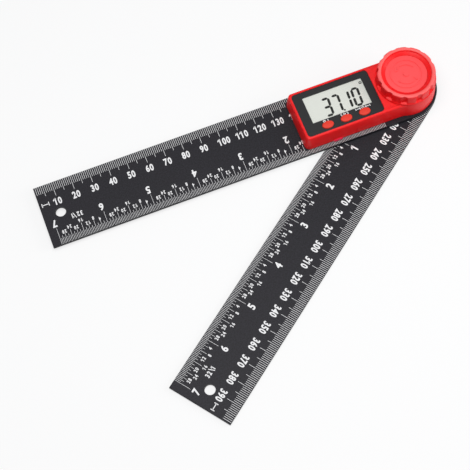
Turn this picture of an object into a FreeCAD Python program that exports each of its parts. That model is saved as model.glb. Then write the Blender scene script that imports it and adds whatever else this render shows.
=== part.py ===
import FreeCAD, Part
import math
import os

# Angle finder: two rules on one pivot, a digital display on the upper rule and a locking knob.
# Lengths are in millimetres and angles in degrees. The origin is on the pivot axis at the
# underside of the lower arm. +Z points up through the knob, and the upper arm lies along -X.
# The lower arm opens towards -Y by the angle that the display shows.

FULL_TURN = 360.0

# One overrun carries every cut past the face that it opens
overrun = 0.5

# Hidden round pieces, fasteners, ovals and the knob have straight sides, to keep the model light
knob_sides = 72
round_sides = 32
small_sides = 14
oval_sides = 24
flute_sides = 16
rounding_steps = 3

# Arms: both rules are cut from the same plate
arm_length = 200.0
arm_width = 35.0
arm_edge_strip = 2.55
arm_thickness = 2.0
arm_chamfer = 0.2
arm_opening_angle = 37.1
hang_hole_radius = 2.75
hang_hole_inset = 9.5

# Slip disc between the arms
slip_thickness = 0.15
slip_margin = 1.5

# Coin cell and the tray that carries it
cell_radius = 10.0
cell_height = 3.2
cell_cap_margin = 1.2
cell_cap_height = 0.3
cell_clearance = 0.15
tray_running_gap = 0.1
tray_floor = 0.4
tray_side_wall = 0.7
tray_front_wall = 1.8
tray_side_gap = 0.15
tray_tab_length = 4.6
tray_tab_height = 1.0
tray_tab_reach = 0.8
tray_guide_thickness = 1.0
rib_bite_share = 0.5
tray_boss_gap = 1.0

# Circuit board
contact_space = 0.45
board_thickness = 1.0
board_edge_gap = 1.1
board_neck_width = 12.0
board_ring_inner_share = 1.4
board_ring_lap = 0.1
contact_thickness = 0.2
contact_width = 4.0
chip_size = 8.0
chip_height = 0.9
crystal_radius = 1.0
crystal_length = 6.0
capacitor_length = 1.6
capacitor_width = 0.8
capacitor_height = 0.7
capacitor_count = 4

# Display: glass, its holder and the strip that joins it to the board
window_far_margin = 5.0
window_near_margin = 4.3
window_top_margin = 3.25
window_low_margin = 6.75
glass_thickness = 1.7
glass_front_plate = 0.85
glass_edge = 1.0
glass_lower_edge = 0.7
glass_ledge = 2.1
glass_recess = 0.05
glass_opening_gap = 0.15
holder_height = 2.0
holder_wall = 1.2
strip_width = 1.6

# Display panel and the housing's rim round it
panel_length = 42.1
panel_far_x = -59.0
panel_corner_radius = 1.8
panel_thickness = 0.6
panel_fit = 0.1
panel_adhesive_thickness = 0.1
panel_adhesive_border = 0.6
lens_recess = 0.15
lens_fit = 0.03
rim_height = 0.4
rim_width = 1.2

# Housing
housing_wall = 1.5
housing_draft = 0.9
housing_corner_radius = 2.8
housing_top_chamfer = 1.0
housing_deck = 1.0
hub_swell = 1.4
hub_blend_radius = 12.0

# Buttons
button_length = 6.2
button_width = 4.2
button_pitch = 10.2
button_row_shift = 0.6
button_margin = 3.25
button_proud = 0.75
button_edge_chamfer = 0.35
button_flange = 0.5
button_flange_thickness = 0.8
button_gap = 0.15
button_travel = 0.4
button_stem_radius = 1.2
button_idle_gap = 0.05
switch_base_radius = 2.1
switch_base_height = 0.35
switch_dome_radius = 1.5
switch_dome_height = 0.2

# Screws
housing_screw_radius = 1.0
housing_screw_head_radius = 1.9
housing_screw_head_height = 0.9
housing_screw_length = 6.0
housing_screw_gap = 0.1
housing_boss_radius = 1.9
housing_boss_bite = 0.6
hub_boss_angle = 45.0
board_screw_radius = 0.8
board_screw_head_radius = 1.5
board_screw_head_height = 0.4
board_screw_length = 2.6
board_boss_radius = 1.7
board_boss_gap = 1.1
board_boss_margin = 2.9
screw_slot_width = 0.5
screw_slot_depth = 0.25

# Pivot: the stud follows the arm's width, and its other radii are shares of its own
arm_widths_per_stud_radius = 8.75
stud_head_share = 2.25
stud_thread_share = 0.75
stud_head_thickness = 1.0
stud_flat_depth = 0.5
stud_seat_gap = 0.02
bush_wall_share = 0.5
bush_flange_thickness = 0.5
bush_running_gap = 0.03
spring_washer_height = 0.55
spring_washer_thickness = 0.2
spring_washer_width = 2.3
spring_washer_gap = 0.03
spring_washer_bends = 6
ring_thickness = 0.6
ring_width = 3.0
ring_groove_depth = 0.6
ring_opening_angle = 70.0
rotor_lift = 0.2
rotor_collar_wall_share = 0.55
rotor_spigot_wall_share = 0.275
rotor_thickness = 0.8
rotor_room_share = 0.927
rotor_gap = 0.3
stator_thickness = 0.1
stator_field_count = 24
stator_field_fill_share = 0.6
stator_inner_share = 0.61
stator_outer_share = 0.96
hub_bore_gap = 0.3

# Locking knob
thrust_washer_thickness = 0.5
thrust_washer_width = 4.5
knob_overhang = 0.4
knob_lift = 0.15
knob_height = 7.2
knob_foot_height = 1.1
knob_foot_step = 0.35
knob_taper = 0.35
knob_ring_width = 2.4
knob_ring_radius = 1.1
knob_cone_width = 1.85
knob_disc_depth = 2.1
knob_cap_thickness = 0.8
knob_cap_fit = 0.05
knob_web_thickness = 1.6
knob_skirt_wall = 2.3
knob_boss_wall = 1.8
knob_insert_wall = 2.0
knob_thread_gap = 0.05
knob_flute_count = 12
knob_flute_phase = 3.0
knob_flute_radius = 2.3
knob_flute_depth = 1.1

# Levels above the underside, in the order in which the pieces stack
z_lower_top = arm_thickness
z_upper_bottom = z_lower_top + slip_thickness
z_upper_top = z_upper_bottom + arm_thickness
z_tray_bottom = z_upper_top + tray_running_gap
z_cell_bottom = z_tray_bottom + tray_floor
z_cell_top = z_cell_bottom + cell_height
z_board_bottom = z_cell_top + contact_space
z_board_top = z_board_bottom + board_thickness
z_glass_bottom = z_board_top + holder_height
z_glass_top = z_glass_bottom + glass_thickness
z_deck_top = z_glass_top + glass_recess
z_deck_bottom = z_deck_top - housing_deck
z_panel_bottom = z_deck_top + panel_adhesive_thickness
z_panel_top = z_panel_bottom + panel_thickness
z_housing_top = z_panel_top + rim_height
z_bush_top = z_upper_top + bush_flange_thickness
z_ring_bottom = z_bush_top + spring_washer_height
z_ring_top = z_ring_bottom + ring_thickness
z_rotor_top = z_board_bottom - stator_thickness - rotor_gap
z_rotor_bottom = z_rotor_top - rotor_thickness
z_collar_bottom = z_ring_top + rotor_lift
z_knob_boss_bottom = z_housing_top + thrust_washer_thickness
z_knob_bottom = z_housing_top + knob_lift
z_knob_top = z_housing_top + knob_height
z_disc_top = z_knob_top - knob_disc_depth
z_cap_bottom = z_disc_top - knob_cap_thickness
z_web_bottom = z_cap_bottom - knob_web_thickness
z_stud_top = z_web_bottom

# Plan sizes that follow from the ones above
slip_radius = arm_width / 2 - slip_margin
stud_radius = arm_width / arm_widths_per_stud_radius
stud_head_radius = stud_radius * stud_head_share
stud_thread_radius = stud_radius * stud_thread_share
bush_wall = stud_radius * bush_wall_share
rotor_collar_wall = stud_radius * rotor_collar_wall_share
rotor_spigot_wall = stud_radius * rotor_spigot_wall_share
board_ring_inner_radius = stud_radius * board_ring_inner_share
body_half_width = arm_width / 2 - arm_edge_strip
panel_width = 2 * (body_half_width - housing_draft - rim_width - panel_fit)
body_end = -panel_far_x + panel_fit + rim_width + housing_draft
hub_radius = body_half_width + hub_swell
hub_top_radius = hub_radius - housing_draft
panel_near_x = panel_far_x + panel_length
window_far_x = panel_far_x + window_far_margin
window_near_x = panel_near_x - window_near_margin
window_low_y = -panel_width / 2 + window_low_margin
window_high_y = panel_width / 2 - window_top_margin
glass_far_x = window_far_x - glass_edge
glass_near_x = window_near_x + glass_edge
glass_low_y = window_low_y - glass_lower_edge
glass_high_y = window_high_y + glass_ledge
knob_radius = hub_top_radius + knob_overhang
knob_side_radius = knob_radius - knob_foot_step
knob_crest_outer = knob_side_radius - knob_taper
knob_crest_inner = knob_crest_outer - knob_ring_width
knob_disc_radius = knob_crest_inner - knob_cone_width
tray_half_length = cell_radius + cell_clearance + tray_side_wall
cell_centre_y = -body_half_width + tray_front_wall + cell_clearance + cell_radius
button_middle_x = (window_far_x + window_near_x) / 2 + button_row_shift
button_centre_y = -panel_width / 2 + button_margin
button_places_x = [button_middle_x + step * button_pitch for step in (-1, 0, 1)]
boss_inset = housing_wall + housing_boss_radius - housing_boss_bite
far_boss_x = -body_end + boss_inset
far_boss_y = body_half_width - boss_inset
hub_boss_reach = hub_radius - boss_inset
rotor_radius = (hub_boss_reach - housing_boss_radius) * rotor_room_share
board_ring_outer_radius = rotor_radius + board_ring_lap
stator_outer_radius = rotor_radius * stator_outer_share
stator_inner_radius = rotor_radius * stator_inner_share
cell_far_side = tray_boss_gap + tray_guide_thickness + tray_side_gap + tray_half_length
cell_centre_x = far_boss_x + housing_boss_radius + cell_far_side
hub_boss_x = hub_boss_reach * math.cos(math.radians(hub_boss_angle))
hub_boss_y = hub_boss_reach * math.sin(math.radians(hub_boss_angle))
housing_screw_places = [
    (far_boss_x, far_boss_y),
    (far_boss_x, -far_boss_y),
    (hub_boss_x, hub_boss_y),
    (hub_boss_x, -hub_boss_y),
]
board_half_width = body_half_width - housing_draft - housing_wall - board_edge_gap
board_far_x = far_boss_x + housing_boss_radius + board_edge_gap / 2
board_boss_x = glass_near_x + board_boss_gap + board_boss_radius
board_near_end_x = board_boss_x + board_boss_margin
board_boss_y = board_half_width - board_boss_radius
board_screw_places = [(board_boss_x, board_boss_y), (board_boss_x, -board_boss_y)]
chip_x = (cell_centre_x + tray_half_length + board_near_end_x) / 2
board_parts_far_x = cell_centre_x + tray_half_length + tray_side_gap + tray_guide_thickness
board_parts_x = (board_parts_far_x + board_boss_x - board_screw_head_radius) / 2


def cylinder(radius, low, high, x=0, y=0):
    return Part.makeCylinder(radius, high - low, FreeCAD.Vector(x, y, low))


def oval_ring(half_length, half_width, level, x, y, sides):
    """Corners evenly spread round an ellipse."""
    corners = []
    for number in range(sides):
        angle = math.radians(number * FULL_TURN / sides)
        corner_x = x + half_length * math.cos(angle)
        corner_y = y + half_width * math.sin(angle)
        corners.append(FreeCAD.Vector(corner_x, corner_y, level))
    return corners


def round_ring(radius, level, x=0, y=0, sides=round_sides):
    return oval_ring(radius, radius, level, x, y, sides)


def flat_face(corners):
    return Part.Face(Part.makePolygon(corners + corners[:1]))


def stacked(rings):
    """A straight-sided solid through rings of corners, from the lowest to the highest."""
    faces = [flat_face(rings[0]), flat_face(rings[-1])]
    for lower, upper in zip(rings, rings[1:]):
        for here, there in zip(range(-1, len(lower) - 1), range(len(lower))):
            faces.append(flat_face([lower[here], lower[there], upper[there], upper[here]]))
    solid = Part.Solid(Part.Shell(faces))
    if solid.Volume < 0:
        solid.reverse()
    return solid.removeSplitter()


def bar(radius, low, high, x=0, y=0, sides=round_sides):
    """A round bar with straight sides."""
    return stacked([round_ring(radius, level, x, y, sides) for level in (low, high)])


def turning(profile, sides=round_sides):
    """A straight-sided turning about the pivot axis, through (radius, height) points."""
    return stacked([round_ring(radius, height, 0, 0, sides) for radius, height in profile])


def tube(outer, inner, low, high, x=0, y=0):
    """A plain ring or bush: its bore runs past both ends."""
    bore = bar(inner, low - overrun, high + overrun, x, y)
    return bar(outer, low, high, x, y).cut(bore)


def block(x_low, x_high, y_low, y_high, low, high):
    corner = FreeCAD.Vector(x_low, y_low, low)
    return Part.makeBox(x_high - x_low, y_high - y_low, high - low, corner)


def rounded_block(x_low, x_high, y_low, y_high, low, high, radius):
    """A block whose four upright edges are rounded."""
    solid = block(x_low, x_high, y_low, y_high, low, high)
    upright = [edge for edge in solid.Edges if abs(edge.tangentAt(edge.FirstParameter).z) > 0.5]
    return solid.makeFillet(radius, upright)


def quarter_steps():
    """The steps of a rounded edge: how far in and how far up, as shares of its radius."""
    angles = [math.pi / 2 * step / rounding_steps for step in range(rounding_steps + 1)]
    return [(1 - math.cos(angle), math.sin(angle)) for angle in angles]


def turned(shape, angle):
    """A copy of the shape, turned about the pivot axis."""
    copy = shape.copy()
    copy.rotate(FreeCAD.Vector(0, 0, 0), FreeCAD.Vector(0, 0, 1), angle)
    return copy


def arc(start, middle, end):
    return Part.Arc(start, middle, end).toShape()


def line(start, end):
    return Part.makeLine(start, end)


def arm_plate(low):
    """A rule blank along -X: square far end, round hub end, fine chamfer, hanging hole."""
    high = low + arm_thickness
    half = arm_width / 2
    far = FreeCAD.Vector(-arm_length, half, low)
    corner = FreeCAD.Vector(-arm_length, -half, low)
    front = FreeCAD.Vector(0, -half, low)
    back = FreeCAD.Vector(0, half, low)
    nose = FreeCAD.Vector(half, 0, low)
    outline = Part.Wire([line(far, corner), line(corner, front), arc(front, nose, back), line(back, far)])
    plate = Part.Face(outline).extrude(FreeCAD.Vector(0, 0, arm_thickness))
    rims = [edge for edge in plate.Edges if abs(edge.BoundBox.ZLength) < arm_chamfer]
    plate = plate.makeChamfer(arm_chamfer, rims)
    hang_x = -arm_length + hang_hole_inset
    return plate.cut(cylinder(hang_hole_radius, low - overrun, high + overrun, hang_x, 0))


def screw_cone(x, y, gap):
    """The cone of a countersunk screw that enters the upper arm from below."""
    head = round_ring(housing_screw_head_radius + gap, z_upper_bottom, x, y, small_sides)
    neck_level = z_upper_bottom + housing_screw_head_height
    return stacked([head, round_ring(housing_screw_radius + gap, neck_level, x, y, small_sides)])


def make_upper_arm():
    """The rule that carries the housing: a bore for the bush and four countersunk holes."""
    arm = arm_plate(z_upper_bottom)
    arm = arm.cut(cylinder(bush_outer_radius(), z_upper_bottom - overrun, z_upper_top + overrun))
    for x, y in housing_screw_places:
        hole_radius = housing_screw_radius + housing_screw_gap
        low = z_upper_bottom - overrun
        arm = arm.cut(bar(hole_radius, low, z_upper_top + overrun, x, y, small_sides))
        arm = arm.cut(screw_cone(x, y, housing_screw_gap))
    return arm


def make_lower_arm():
    """The rule under it, turned to the opening angle, with a seat for the stud's head."""
    arm = turned(arm_plate(0), arm_opening_angle)
    arm = arm.cut(cylinder(stud_radius + stud_seat_gap, -overrun, arm_thickness + overrun))
    return arm.cut(cylinder(stud_head_radius + stud_seat_gap, -overrun, stud_head_thickness))


def make_arm_washer():
    return tube(slip_radius, stud_radius + bush_wall, z_lower_top, z_upper_bottom)


def bush_outer_radius():
    return stud_radius + bush_running_gap + bush_wall


def make_pivot_bush():
    """A flanged bush, pressed into the upper arm from above."""
    sleeve = bar(bush_outer_radius(), z_upper_bottom, z_upper_top)
    flange = bar(bush_outer_radius() + bush_wall, z_upper_top, z_bush_top)
    bore = cylinder(stud_radius + bush_running_gap, z_upper_bottom - overrun, z_bush_top + overrun)
    return sleeve.fuse(flange).cut(bore)


def make_pivot_stud():
    """Flat head, plain journal, clip groove, a flat for the rotor and a thread for the knob."""
    step_top = z_rotor_top + stud_radius - stud_thread_radius
    tip_radius = stud_thread_radius - stud_flat_depth
    thread = [
        (stud_radius, z_rotor_top),
        (stud_thread_radius, step_top),
        (stud_thread_radius, z_stud_top - stud_flat_depth),
        (tip_radius, z_stud_top),
    ]
    stud = bar(stud_head_radius, 0, stud_head_thickness)
    stud = stud.fuse(cylinder(stud_radius, 0, z_ring_bottom))
    stud = stud.fuse(bar(stud_radius - ring_groove_depth, z_ring_bottom, z_ring_top))
    stud = stud.fuse(cylinder(stud_radius, z_ring_top, z_rotor_top))
    stud = stud.fuse(turning(thread))
    return stud.cut(stud_flat(z_collar_bottom, 0)).removeSplitter()


def stud_flat(low, gap):
    """What the flat takes off the journal, from the given level up."""
    face_x = stud_radius - stud_flat_depth + gap
    return block(face_x, stud_radius + overrun, -stud_radius, stud_radius, low, z_rotor_top + overrun)


def make_spring_washer():
    """A bent washer: a ring cut out of a gently curved sheet."""
    inner = stud_radius + spring_washer_gap + bush_running_gap
    outer = inner + spring_washer_width
    rise = spring_washer_height - spring_washer_thickness - 2 * spring_washer_gap
    top = z_ring_bottom - spring_washer_gap
    upper_edge = []
    for number in range(spring_washer_bends + 1):
        share = 2 * number / spring_washer_bends - 1
        upper_edge.append((share * (outer + overrun), top - rise * share * share))
    lower_edge = [(y, level - spring_washer_thickness) for y, level in reversed(upper_edge)]
    start_x = -outer - overrun
    section = flat_face([FreeCAD.Vector(start_x, y, level) for y, level in upper_edge + lower_edge])
    sheet = section.extrude(FreeCAD.Vector(-2 * start_x, 0, 0))
    return tube(outer, inner, z_bush_top, z_ring_bottom).common(sheet)


def make_retaining_ring():
    """An open clip that snaps into the stud's groove."""
    inner = stud_radius - ring_groove_depth + stud_seat_gap
    clip = tube(inner + ring_width, inner, z_ring_bottom, z_ring_top)
    reach = inner + ring_width + overrun
    half_angle = math.radians(ring_opening_angle / 2)
    side = FreeCAD.Vector(reach, reach * math.tan(half_angle), z_ring_bottom - overrun)
    other = FreeCAD.Vector(reach, -reach * math.tan(half_angle), z_ring_bottom - overrun)
    centre = FreeCAD.Vector(0, 0, z_ring_bottom - overrun)
    wedge = flat_face([centre, side, other])
    return clip.cut(wedge.extrude(FreeCAD.Vector(0, 0, ring_thickness + 2 * overrun)))


def make_rotor_hub():
    """A collar on the stud's flat, with a spigot that centres the rotor."""
    bore = stud_radius + stud_seat_gap
    collar = bar(bore + rotor_collar_wall, z_collar_bottom, z_rotor_bottom)
    spigot = bar(bore + rotor_spigot_wall, z_rotor_bottom, z_rotor_top)
    journal = bar(bore, z_collar_bottom - overrun, z_rotor_top + overrun)
    journal = journal.cut(stud_flat(z_collar_bottom - overrun, stud_seat_gap))
    return collar.fuse(spigot).cut(journal)


def make_encoder_rotor():
    inner = stud_radius + 2 * stud_seat_gap + rotor_spigot_wall
    return tube(rotor_radius, inner, z_rotor_bottom, z_rotor_top)


def housing_outline(inset, level):
    """The housing in plan: a round hub, two hollow blends, straight sides, a far end."""
    half = body_half_width - inset
    hub = hub_radius - inset
    end = body_end - inset
    corner = housing_corner_radius - inset
    blend = hub_blend_radius + inset
    blend_x = -math.sqrt((hub + blend) ** 2 - (half + blend) ** 2)
    blend_y = half + blend
    share = hub / (hub + blend)
    half_chord = math.atan2(-blend_x, blend_y) / 2

    def point(x, y):
        return FreeCAD.Vector(x, y, level)

    def rounding(x, y, mid_x, mid_y, next_x, next_y):
        return arc(point(x, y), point(mid_x, mid_y), point(next_x, next_y))

    mid_x = blend_x + blend * math.sin(half_chord)
    mid_y = blend_y - blend * math.cos(half_chord)
    bevel = corner * (1 - math.sqrt(0.5))
    edges = [
        line(point(-end + corner, -half), point(blend_x, -half)),
        rounding(blend_x, -half, mid_x, -mid_y, blend_x * share, -blend_y * share),
        rounding(blend_x * share, -blend_y * share, hub, 0, blend_x * share, blend_y * share),
        rounding(blend_x * share, blend_y * share, mid_x, mid_y, blend_x, half),
        line(point(blend_x, half), point(-end + corner, half)),
        rounding(-end + corner, half, -end + bevel, half - bevel, -end, half - corner),
        line(point(-end, half - corner), point(-end, -half + corner)),
        rounding(-end, -half + corner, -end + bevel, -half + bevel, -end + corner, -half),
    ]
    return Part.Wire(edges)


def draft_at(level):
    """How far the wall has leaned inwards at a level."""
    return housing_draft * (level - z_upper_top) / (z_housing_top - z_upper_top)


def drafted(inset, low, high):
    """A solid inside the housing's drafted outline."""
    lower = housing_outline(inset + draft_at(low), low)
    upper = housing_outline(inset + draft_at(high), high)
    return Part.makeLoft([lower, upper], True, True)


def housing_block():
    """The housing's outside: drafted walls and a soft top edge."""
    shoulder = z_housing_top - housing_top_chamfer
    sections = [
        housing_outline(0, z_upper_top),
        housing_outline(draft_at(shoulder), shoulder),
        housing_outline(draft_at(shoulder) + housing_top_chamfer, z_housing_top),
    ]
    return Part.makeLoft(sections, True, True)


def panel_recess(gap, low, high):
    return rounded_block(
        panel_far_x - gap,
        panel_near_x + gap,
        -panel_width / 2 - gap,
        panel_width / 2 + gap,
        low,
        high,
        panel_corner_radius + gap,
    )


def glass_block(gap, low, high):
    return block(glass_far_x - gap, glass_near_x + gap, glass_low_y - gap, glass_high_y + gap, low, high)


def tray_slot(side_gap, low, high):
    """The room that the tray takes, from the cell's far side out through the front wall."""
    half = tray_half_length + side_gap
    back = cell_centre_y + cell_radius
    front = -body_half_width - overrun
    return block(cell_centre_x - half, cell_centre_x + half, front, back, low, high)


def housing_bosses():
    """Screw bosses down to the arm and down to the board, and the tray's two guide ribs."""
    root = z_deck_bottom + overrun
    bosses = []
    for x, y in housing_screw_places:
        bosses.append(bar(housing_boss_radius, z_upper_top, root, x, y, small_sides))
    for x, y in board_screw_places:
        bosses.append(bar(board_boss_radius, z_board_top, root, x, y, small_sides))
    near = tray_half_length + tray_side_gap
    far = near + tray_guide_thickness
    rib_top = z_board_bottom - tray_side_gap
    rib_root = -body_half_width + housing_wall - housing_draft * rib_bite_share
    for x_low, x_high in ((-far, -near), (near, far)):
        rib = block(
            cell_centre_x + x_low,
            cell_centre_x + x_high,
            rib_root,
            cell_centre_y,
            z_upper_top,
            rib_top,
        )
        bosses.append(rib)
    return bosses


def make_housing():
    """A drafted shell, open below, with its rim, recess, openings, bosses and tray slot."""
    shell = housing_block()
    shell = shell.cut(drafted(housing_wall, z_upper_top - overrun, z_deck_bottom))
    for boss in housing_bosses():
        shell = shell.fuse(boss)
    shell = shell.cut(panel_recess(panel_fit, z_deck_top, z_housing_top + overrun))
    shell = shell.cut(glass_block(glass_opening_gap, z_deck_bottom - overrun, z_deck_top + overrun))
    for x in button_places_x:
        shell = shell.cut(button_oval(button_gap, z_deck_bottom - overrun, z_deck_top + overrun, x))
    shell = shell.cut(cylinder(stud_thread_radius + hub_bore_gap, z_deck_bottom - overrun, z_knob_top))
    shell = shell.cut(tray_slot(tray_side_gap, z_upper_top - overrun, z_cell_top + tray_running_gap))
    for x, y in housing_screw_places:
        pilot_top = z_upper_bottom + housing_screw_length + housing_screw_gap
        low = z_upper_top - overrun
        shell = shell.cut(bar(housing_screw_radius, low, pilot_top, x, y, small_sides))
    for x, y in board_screw_places:
        pilot_top = z_board_bottom + board_screw_length + housing_screw_gap
        low = z_board_top - overrun
        shell = shell.cut(bar(board_screw_radius, low, pilot_top, x, y, small_sides))
    return shell.removeSplitter()


def button_ring(gap, level, x):
    half_length = button_length / 2 + gap
    half_width = button_width / 2 + gap
    return oval_ring(half_length, half_width, level, x, button_centre_y, oval_sides)


def button_oval(gap, low, high, x):
    return stacked([button_ring(gap, low, x), button_ring(gap, high, x)])


def make_display_panel():
    """A thin black plate with its window and three oval holes."""
    plate = panel_recess(0, z_panel_bottom, z_panel_top)
    low = z_panel_bottom - overrun
    high = z_panel_top + overrun
    plate = plate.cut(block(window_far_x, window_near_x, window_low_y, window_high_y, low, high))
    for x in button_places_x:
        plate = plate.cut(button_oval(button_gap, low, high, x))
    return plate


def make_panel_adhesive():
    """Tape under the panel, cut clear of the glass and, with square corners, of the buttons."""
    tape = panel_recess(-panel_adhesive_border, z_deck_top, z_panel_bottom)
    low = z_deck_top - overrun
    high = z_panel_bottom + overrun
    tape = tape.cut(glass_block(glass_opening_gap, low, high))
    half_length = button_length / 2 + button_gap
    half_width = button_width / 2 + button_gap
    low_y = button_centre_y - half_width
    high_y = button_centre_y + half_width
    for x in button_places_x:
        tape = tape.cut(block(x - half_length, x + half_length, low_y, high_y, low, high))
    return tape


def make_display_window():
    """The clear lens, glued into the panel's window a little below its face."""
    return block(
        window_far_x + lens_fit,
        window_near_x - lens_fit,
        window_low_y + lens_fit,
        window_high_y - lens_fit,
        z_panel_bottom,
        z_panel_top - lens_recess,
    )


def make_display_glass():
    """Two plates: the front one stands out at the top edge, over the connector strip."""
    plate_level = z_glass_top - glass_front_plate
    front = glass_block(0, plate_level, z_glass_top)
    rear = block(glass_far_x, glass_near_x, glass_low_y, window_high_y, z_glass_bottom, plate_level)
    return front.fuse(rear).removeSplitter()


def make_display_holder():
    """An open frame between the board and the glass's rear plate."""
    frame = block(glass_far_x, glass_near_x, glass_low_y, window_high_y, z_board_top, z_glass_bottom)
    opening = block(
        glass_far_x + holder_wall,
        glass_near_x - holder_wall,
        glass_low_y + holder_wall,
        window_high_y - holder_wall,
        z_board_top - overrun,
        z_glass_bottom + overrun,
    )
    return frame.cut(opening)


def make_connector_strip():
    """The elastomer strip that joins the glass's ledge to the board."""
    strip_low_y = window_high_y + (glass_ledge - strip_width) / 2
    low_x = glass_far_x + holder_wall
    high_x = glass_near_x - holder_wall
    strip_top = z_glass_top - glass_front_plate
    return block(low_x, high_x, strip_low_y, strip_low_y + strip_width, z_board_top, strip_top)


def make_circuit_board():
    """One board: a wide part under the display, a neck and a ring round the pivot."""
    half = board_half_width
    neck = board_neck_width / 2
    board = block(board_far_x, board_near_end_x, -half, half, z_board_bottom, z_board_top)
    board = board.fuse(block(board_near_end_x, 0, -neck, neck, z_board_bottom, z_board_top))
    board = board.fuse(bar(board_ring_outer_radius, z_board_bottom, z_board_top))
    low = z_board_bottom - overrun
    high = z_board_top + overrun
    board = board.cut(bar(board_ring_inner_radius, low, high))
    for x, y in board_screw_places:
        board = board.cut(bar(board_screw_radius + housing_screw_gap, low, high, x, y, small_sides))
    return board.removeSplitter()


def make_encoder_stator():
    """Copper fields under the board's ring, one wedge each."""
    pitch = FULL_TURN / stator_field_count
    half = math.radians(pitch * stator_field_fill_share / 2)
    low = z_board_bottom - stator_thickness
    corners = []
    for radius, angle in (
        (stator_inner_radius, -half),
        (stator_outer_radius, -half),
        (stator_outer_radius, half),
        (stator_inner_radius, half),
    ):
        corners.append(FreeCAD.Vector(radius * math.cos(angle), radius * math.sin(angle), low))
    field = flat_face(corners).extrude(FreeCAD.Vector(0, 0, stator_thickness))
    return Part.makeCompound([turned(field, number * pitch) for number in range(stator_field_count)])


def make_controller_chip():
    """A flat package under the board, midway between the tray and the board's near end."""
    half = chip_size / 2
    low = z_board_bottom - chip_height
    return block(chip_x - half, chip_x + half, -half, half, low, z_board_bottom)


def make_board_parts():
    """A crystal can and two rows of capacitors, between the tray's guide and the screws."""
    crystal_y = chip_size / 2 + 2 * crystal_radius
    crystal = bar(crystal_radius, 0, crystal_length, 0, 0, small_sides)
    crystal.rotate(FreeCAD.Vector(0, 0, 0), FreeCAD.Vector(0, 1, 0), FULL_TURN / 4)
    start = FreeCAD.Vector(board_parts_x - crystal_length / 2, crystal_y, z_board_bottom - crystal_radius)
    crystal.translate(start)
    parts = [crystal]
    row_y = -chip_size / 2 - 2 * capacitor_width
    low = z_board_bottom - capacitor_height
    for number in range(capacitor_count):
        y = row_y - 2 * (number // 2) * capacitor_width
        x = board_parts_x + (2 * (number % 2) - 1) * capacitor_length
        half = capacitor_length / 2
        parts.append(block(x - half, x + half, y - capacitor_width, y, low, z_board_bottom))
    return Part.makeCompound(parts)


def make_button_switches():
    """Three snap switches on the board, each under a button's stem."""
    switches = []
    for x in button_places_x:
        base_top = z_board_top + switch_base_height
        base = bar(switch_base_radius, z_board_top, base_top, x, button_centre_y, small_sides)
        dome_foot = round_ring(switch_dome_radius, base_top, x, button_centre_y, small_sides)
        dome_level = base_top + switch_dome_height
        dome_top = round_ring(switch_dome_radius / 2, dome_level, x, button_centre_y, small_sides)
        switches.append(base.fuse(stacked([dome_foot, dome_top])))
    return Part.makeCompound(switches)


def make_button(x):
    """An oval cap with a soft edge, a flange that the deck holds back, and a stem."""
    crown = z_panel_top + button_proud
    shoulder = crown - button_edge_chamfer
    crown_share = 1 - 2 * button_edge_chamfer / button_width
    half_length = button_length / 2 * crown_share
    half_width = button_width / 2 * crown_share
    rings = [
        button_ring(0, z_deck_bottom - button_flange_thickness, x),
        button_ring(0, shoulder, x),
        oval_ring(half_length, half_width, crown, x, button_centre_y, oval_sides),
    ]
    cap = stacked(rings)
    flange = button_oval(button_flange, z_deck_bottom - button_flange_thickness, z_deck_bottom, x)
    switch_top = z_board_top + switch_base_height + switch_dome_height
    stem_bottom = switch_top + button_travel + button_idle_gap
    stem = bar(button_stem_radius, stem_bottom, z_deck_bottom, x, button_centre_y, small_sides)
    return cap.fuse(flange).fuse(stem).removeSplitter()


def make_negative_contact():
    """A leaf under the board that bends down to the cell's upper face."""
    half = contact_width / 2
    foot_x = cell_centre_x - cell_radius / 2
    tip_x = cell_centre_x + cell_radius / 4
    tip_level = z_cell_top + stud_seat_gap
    points = [
        FreeCAD.Vector(foot_x - contact_width, -half, z_board_bottom),
        FreeCAD.Vector(foot_x, -half, z_board_bottom),
        FreeCAD.Vector(tip_x, -half, tip_level + contact_thickness),
        FreeCAD.Vector(tip_x, -half, tip_level),
        FreeCAD.Vector(foot_x, -half, z_board_bottom - contact_thickness),
        FreeCAD.Vector(foot_x - contact_width, -half, z_board_bottom - contact_thickness),
    ]
    leaf = flat_face(points).extrude(FreeCAD.Vector(0, contact_width, 0))
    leaf.translate(FreeCAD.Vector(0, cell_centre_y, 0))
    return leaf


def make_positive_contact():
    """A leaf that hangs from the board behind the cell and meets its rim."""
    rim_y = cell_centre_y + cell_radius + cell_clearance
    half = contact_width / 2
    leaf_low = z_cell_bottom + tray_floor
    blade = block(
        cell_centre_x - half,
        cell_centre_x + half,
        rim_y,
        rim_y + contact_thickness,
        leaf_low,
        z_board_bottom,
    )
    foot = block(
        cell_centre_x - half,
        cell_centre_x + half,
        rim_y - contact_width / 2,
        rim_y,
        z_board_bottom - contact_thickness,
        z_board_bottom,
    )
    return blade.fuse(foot).removeSplitter()


def make_coin_cell():
    """A can with the smaller cap on its upper face."""
    shoulder = z_cell_top - cell_cap_height
    can = bar(cell_radius, z_cell_bottom, shoulder, cell_centre_x, cell_centre_y)
    cap = bar(cell_radius - cell_cap_margin, shoulder, z_cell_top, cell_centre_x, cell_centre_y)
    return can.fuse(cap)


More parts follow.
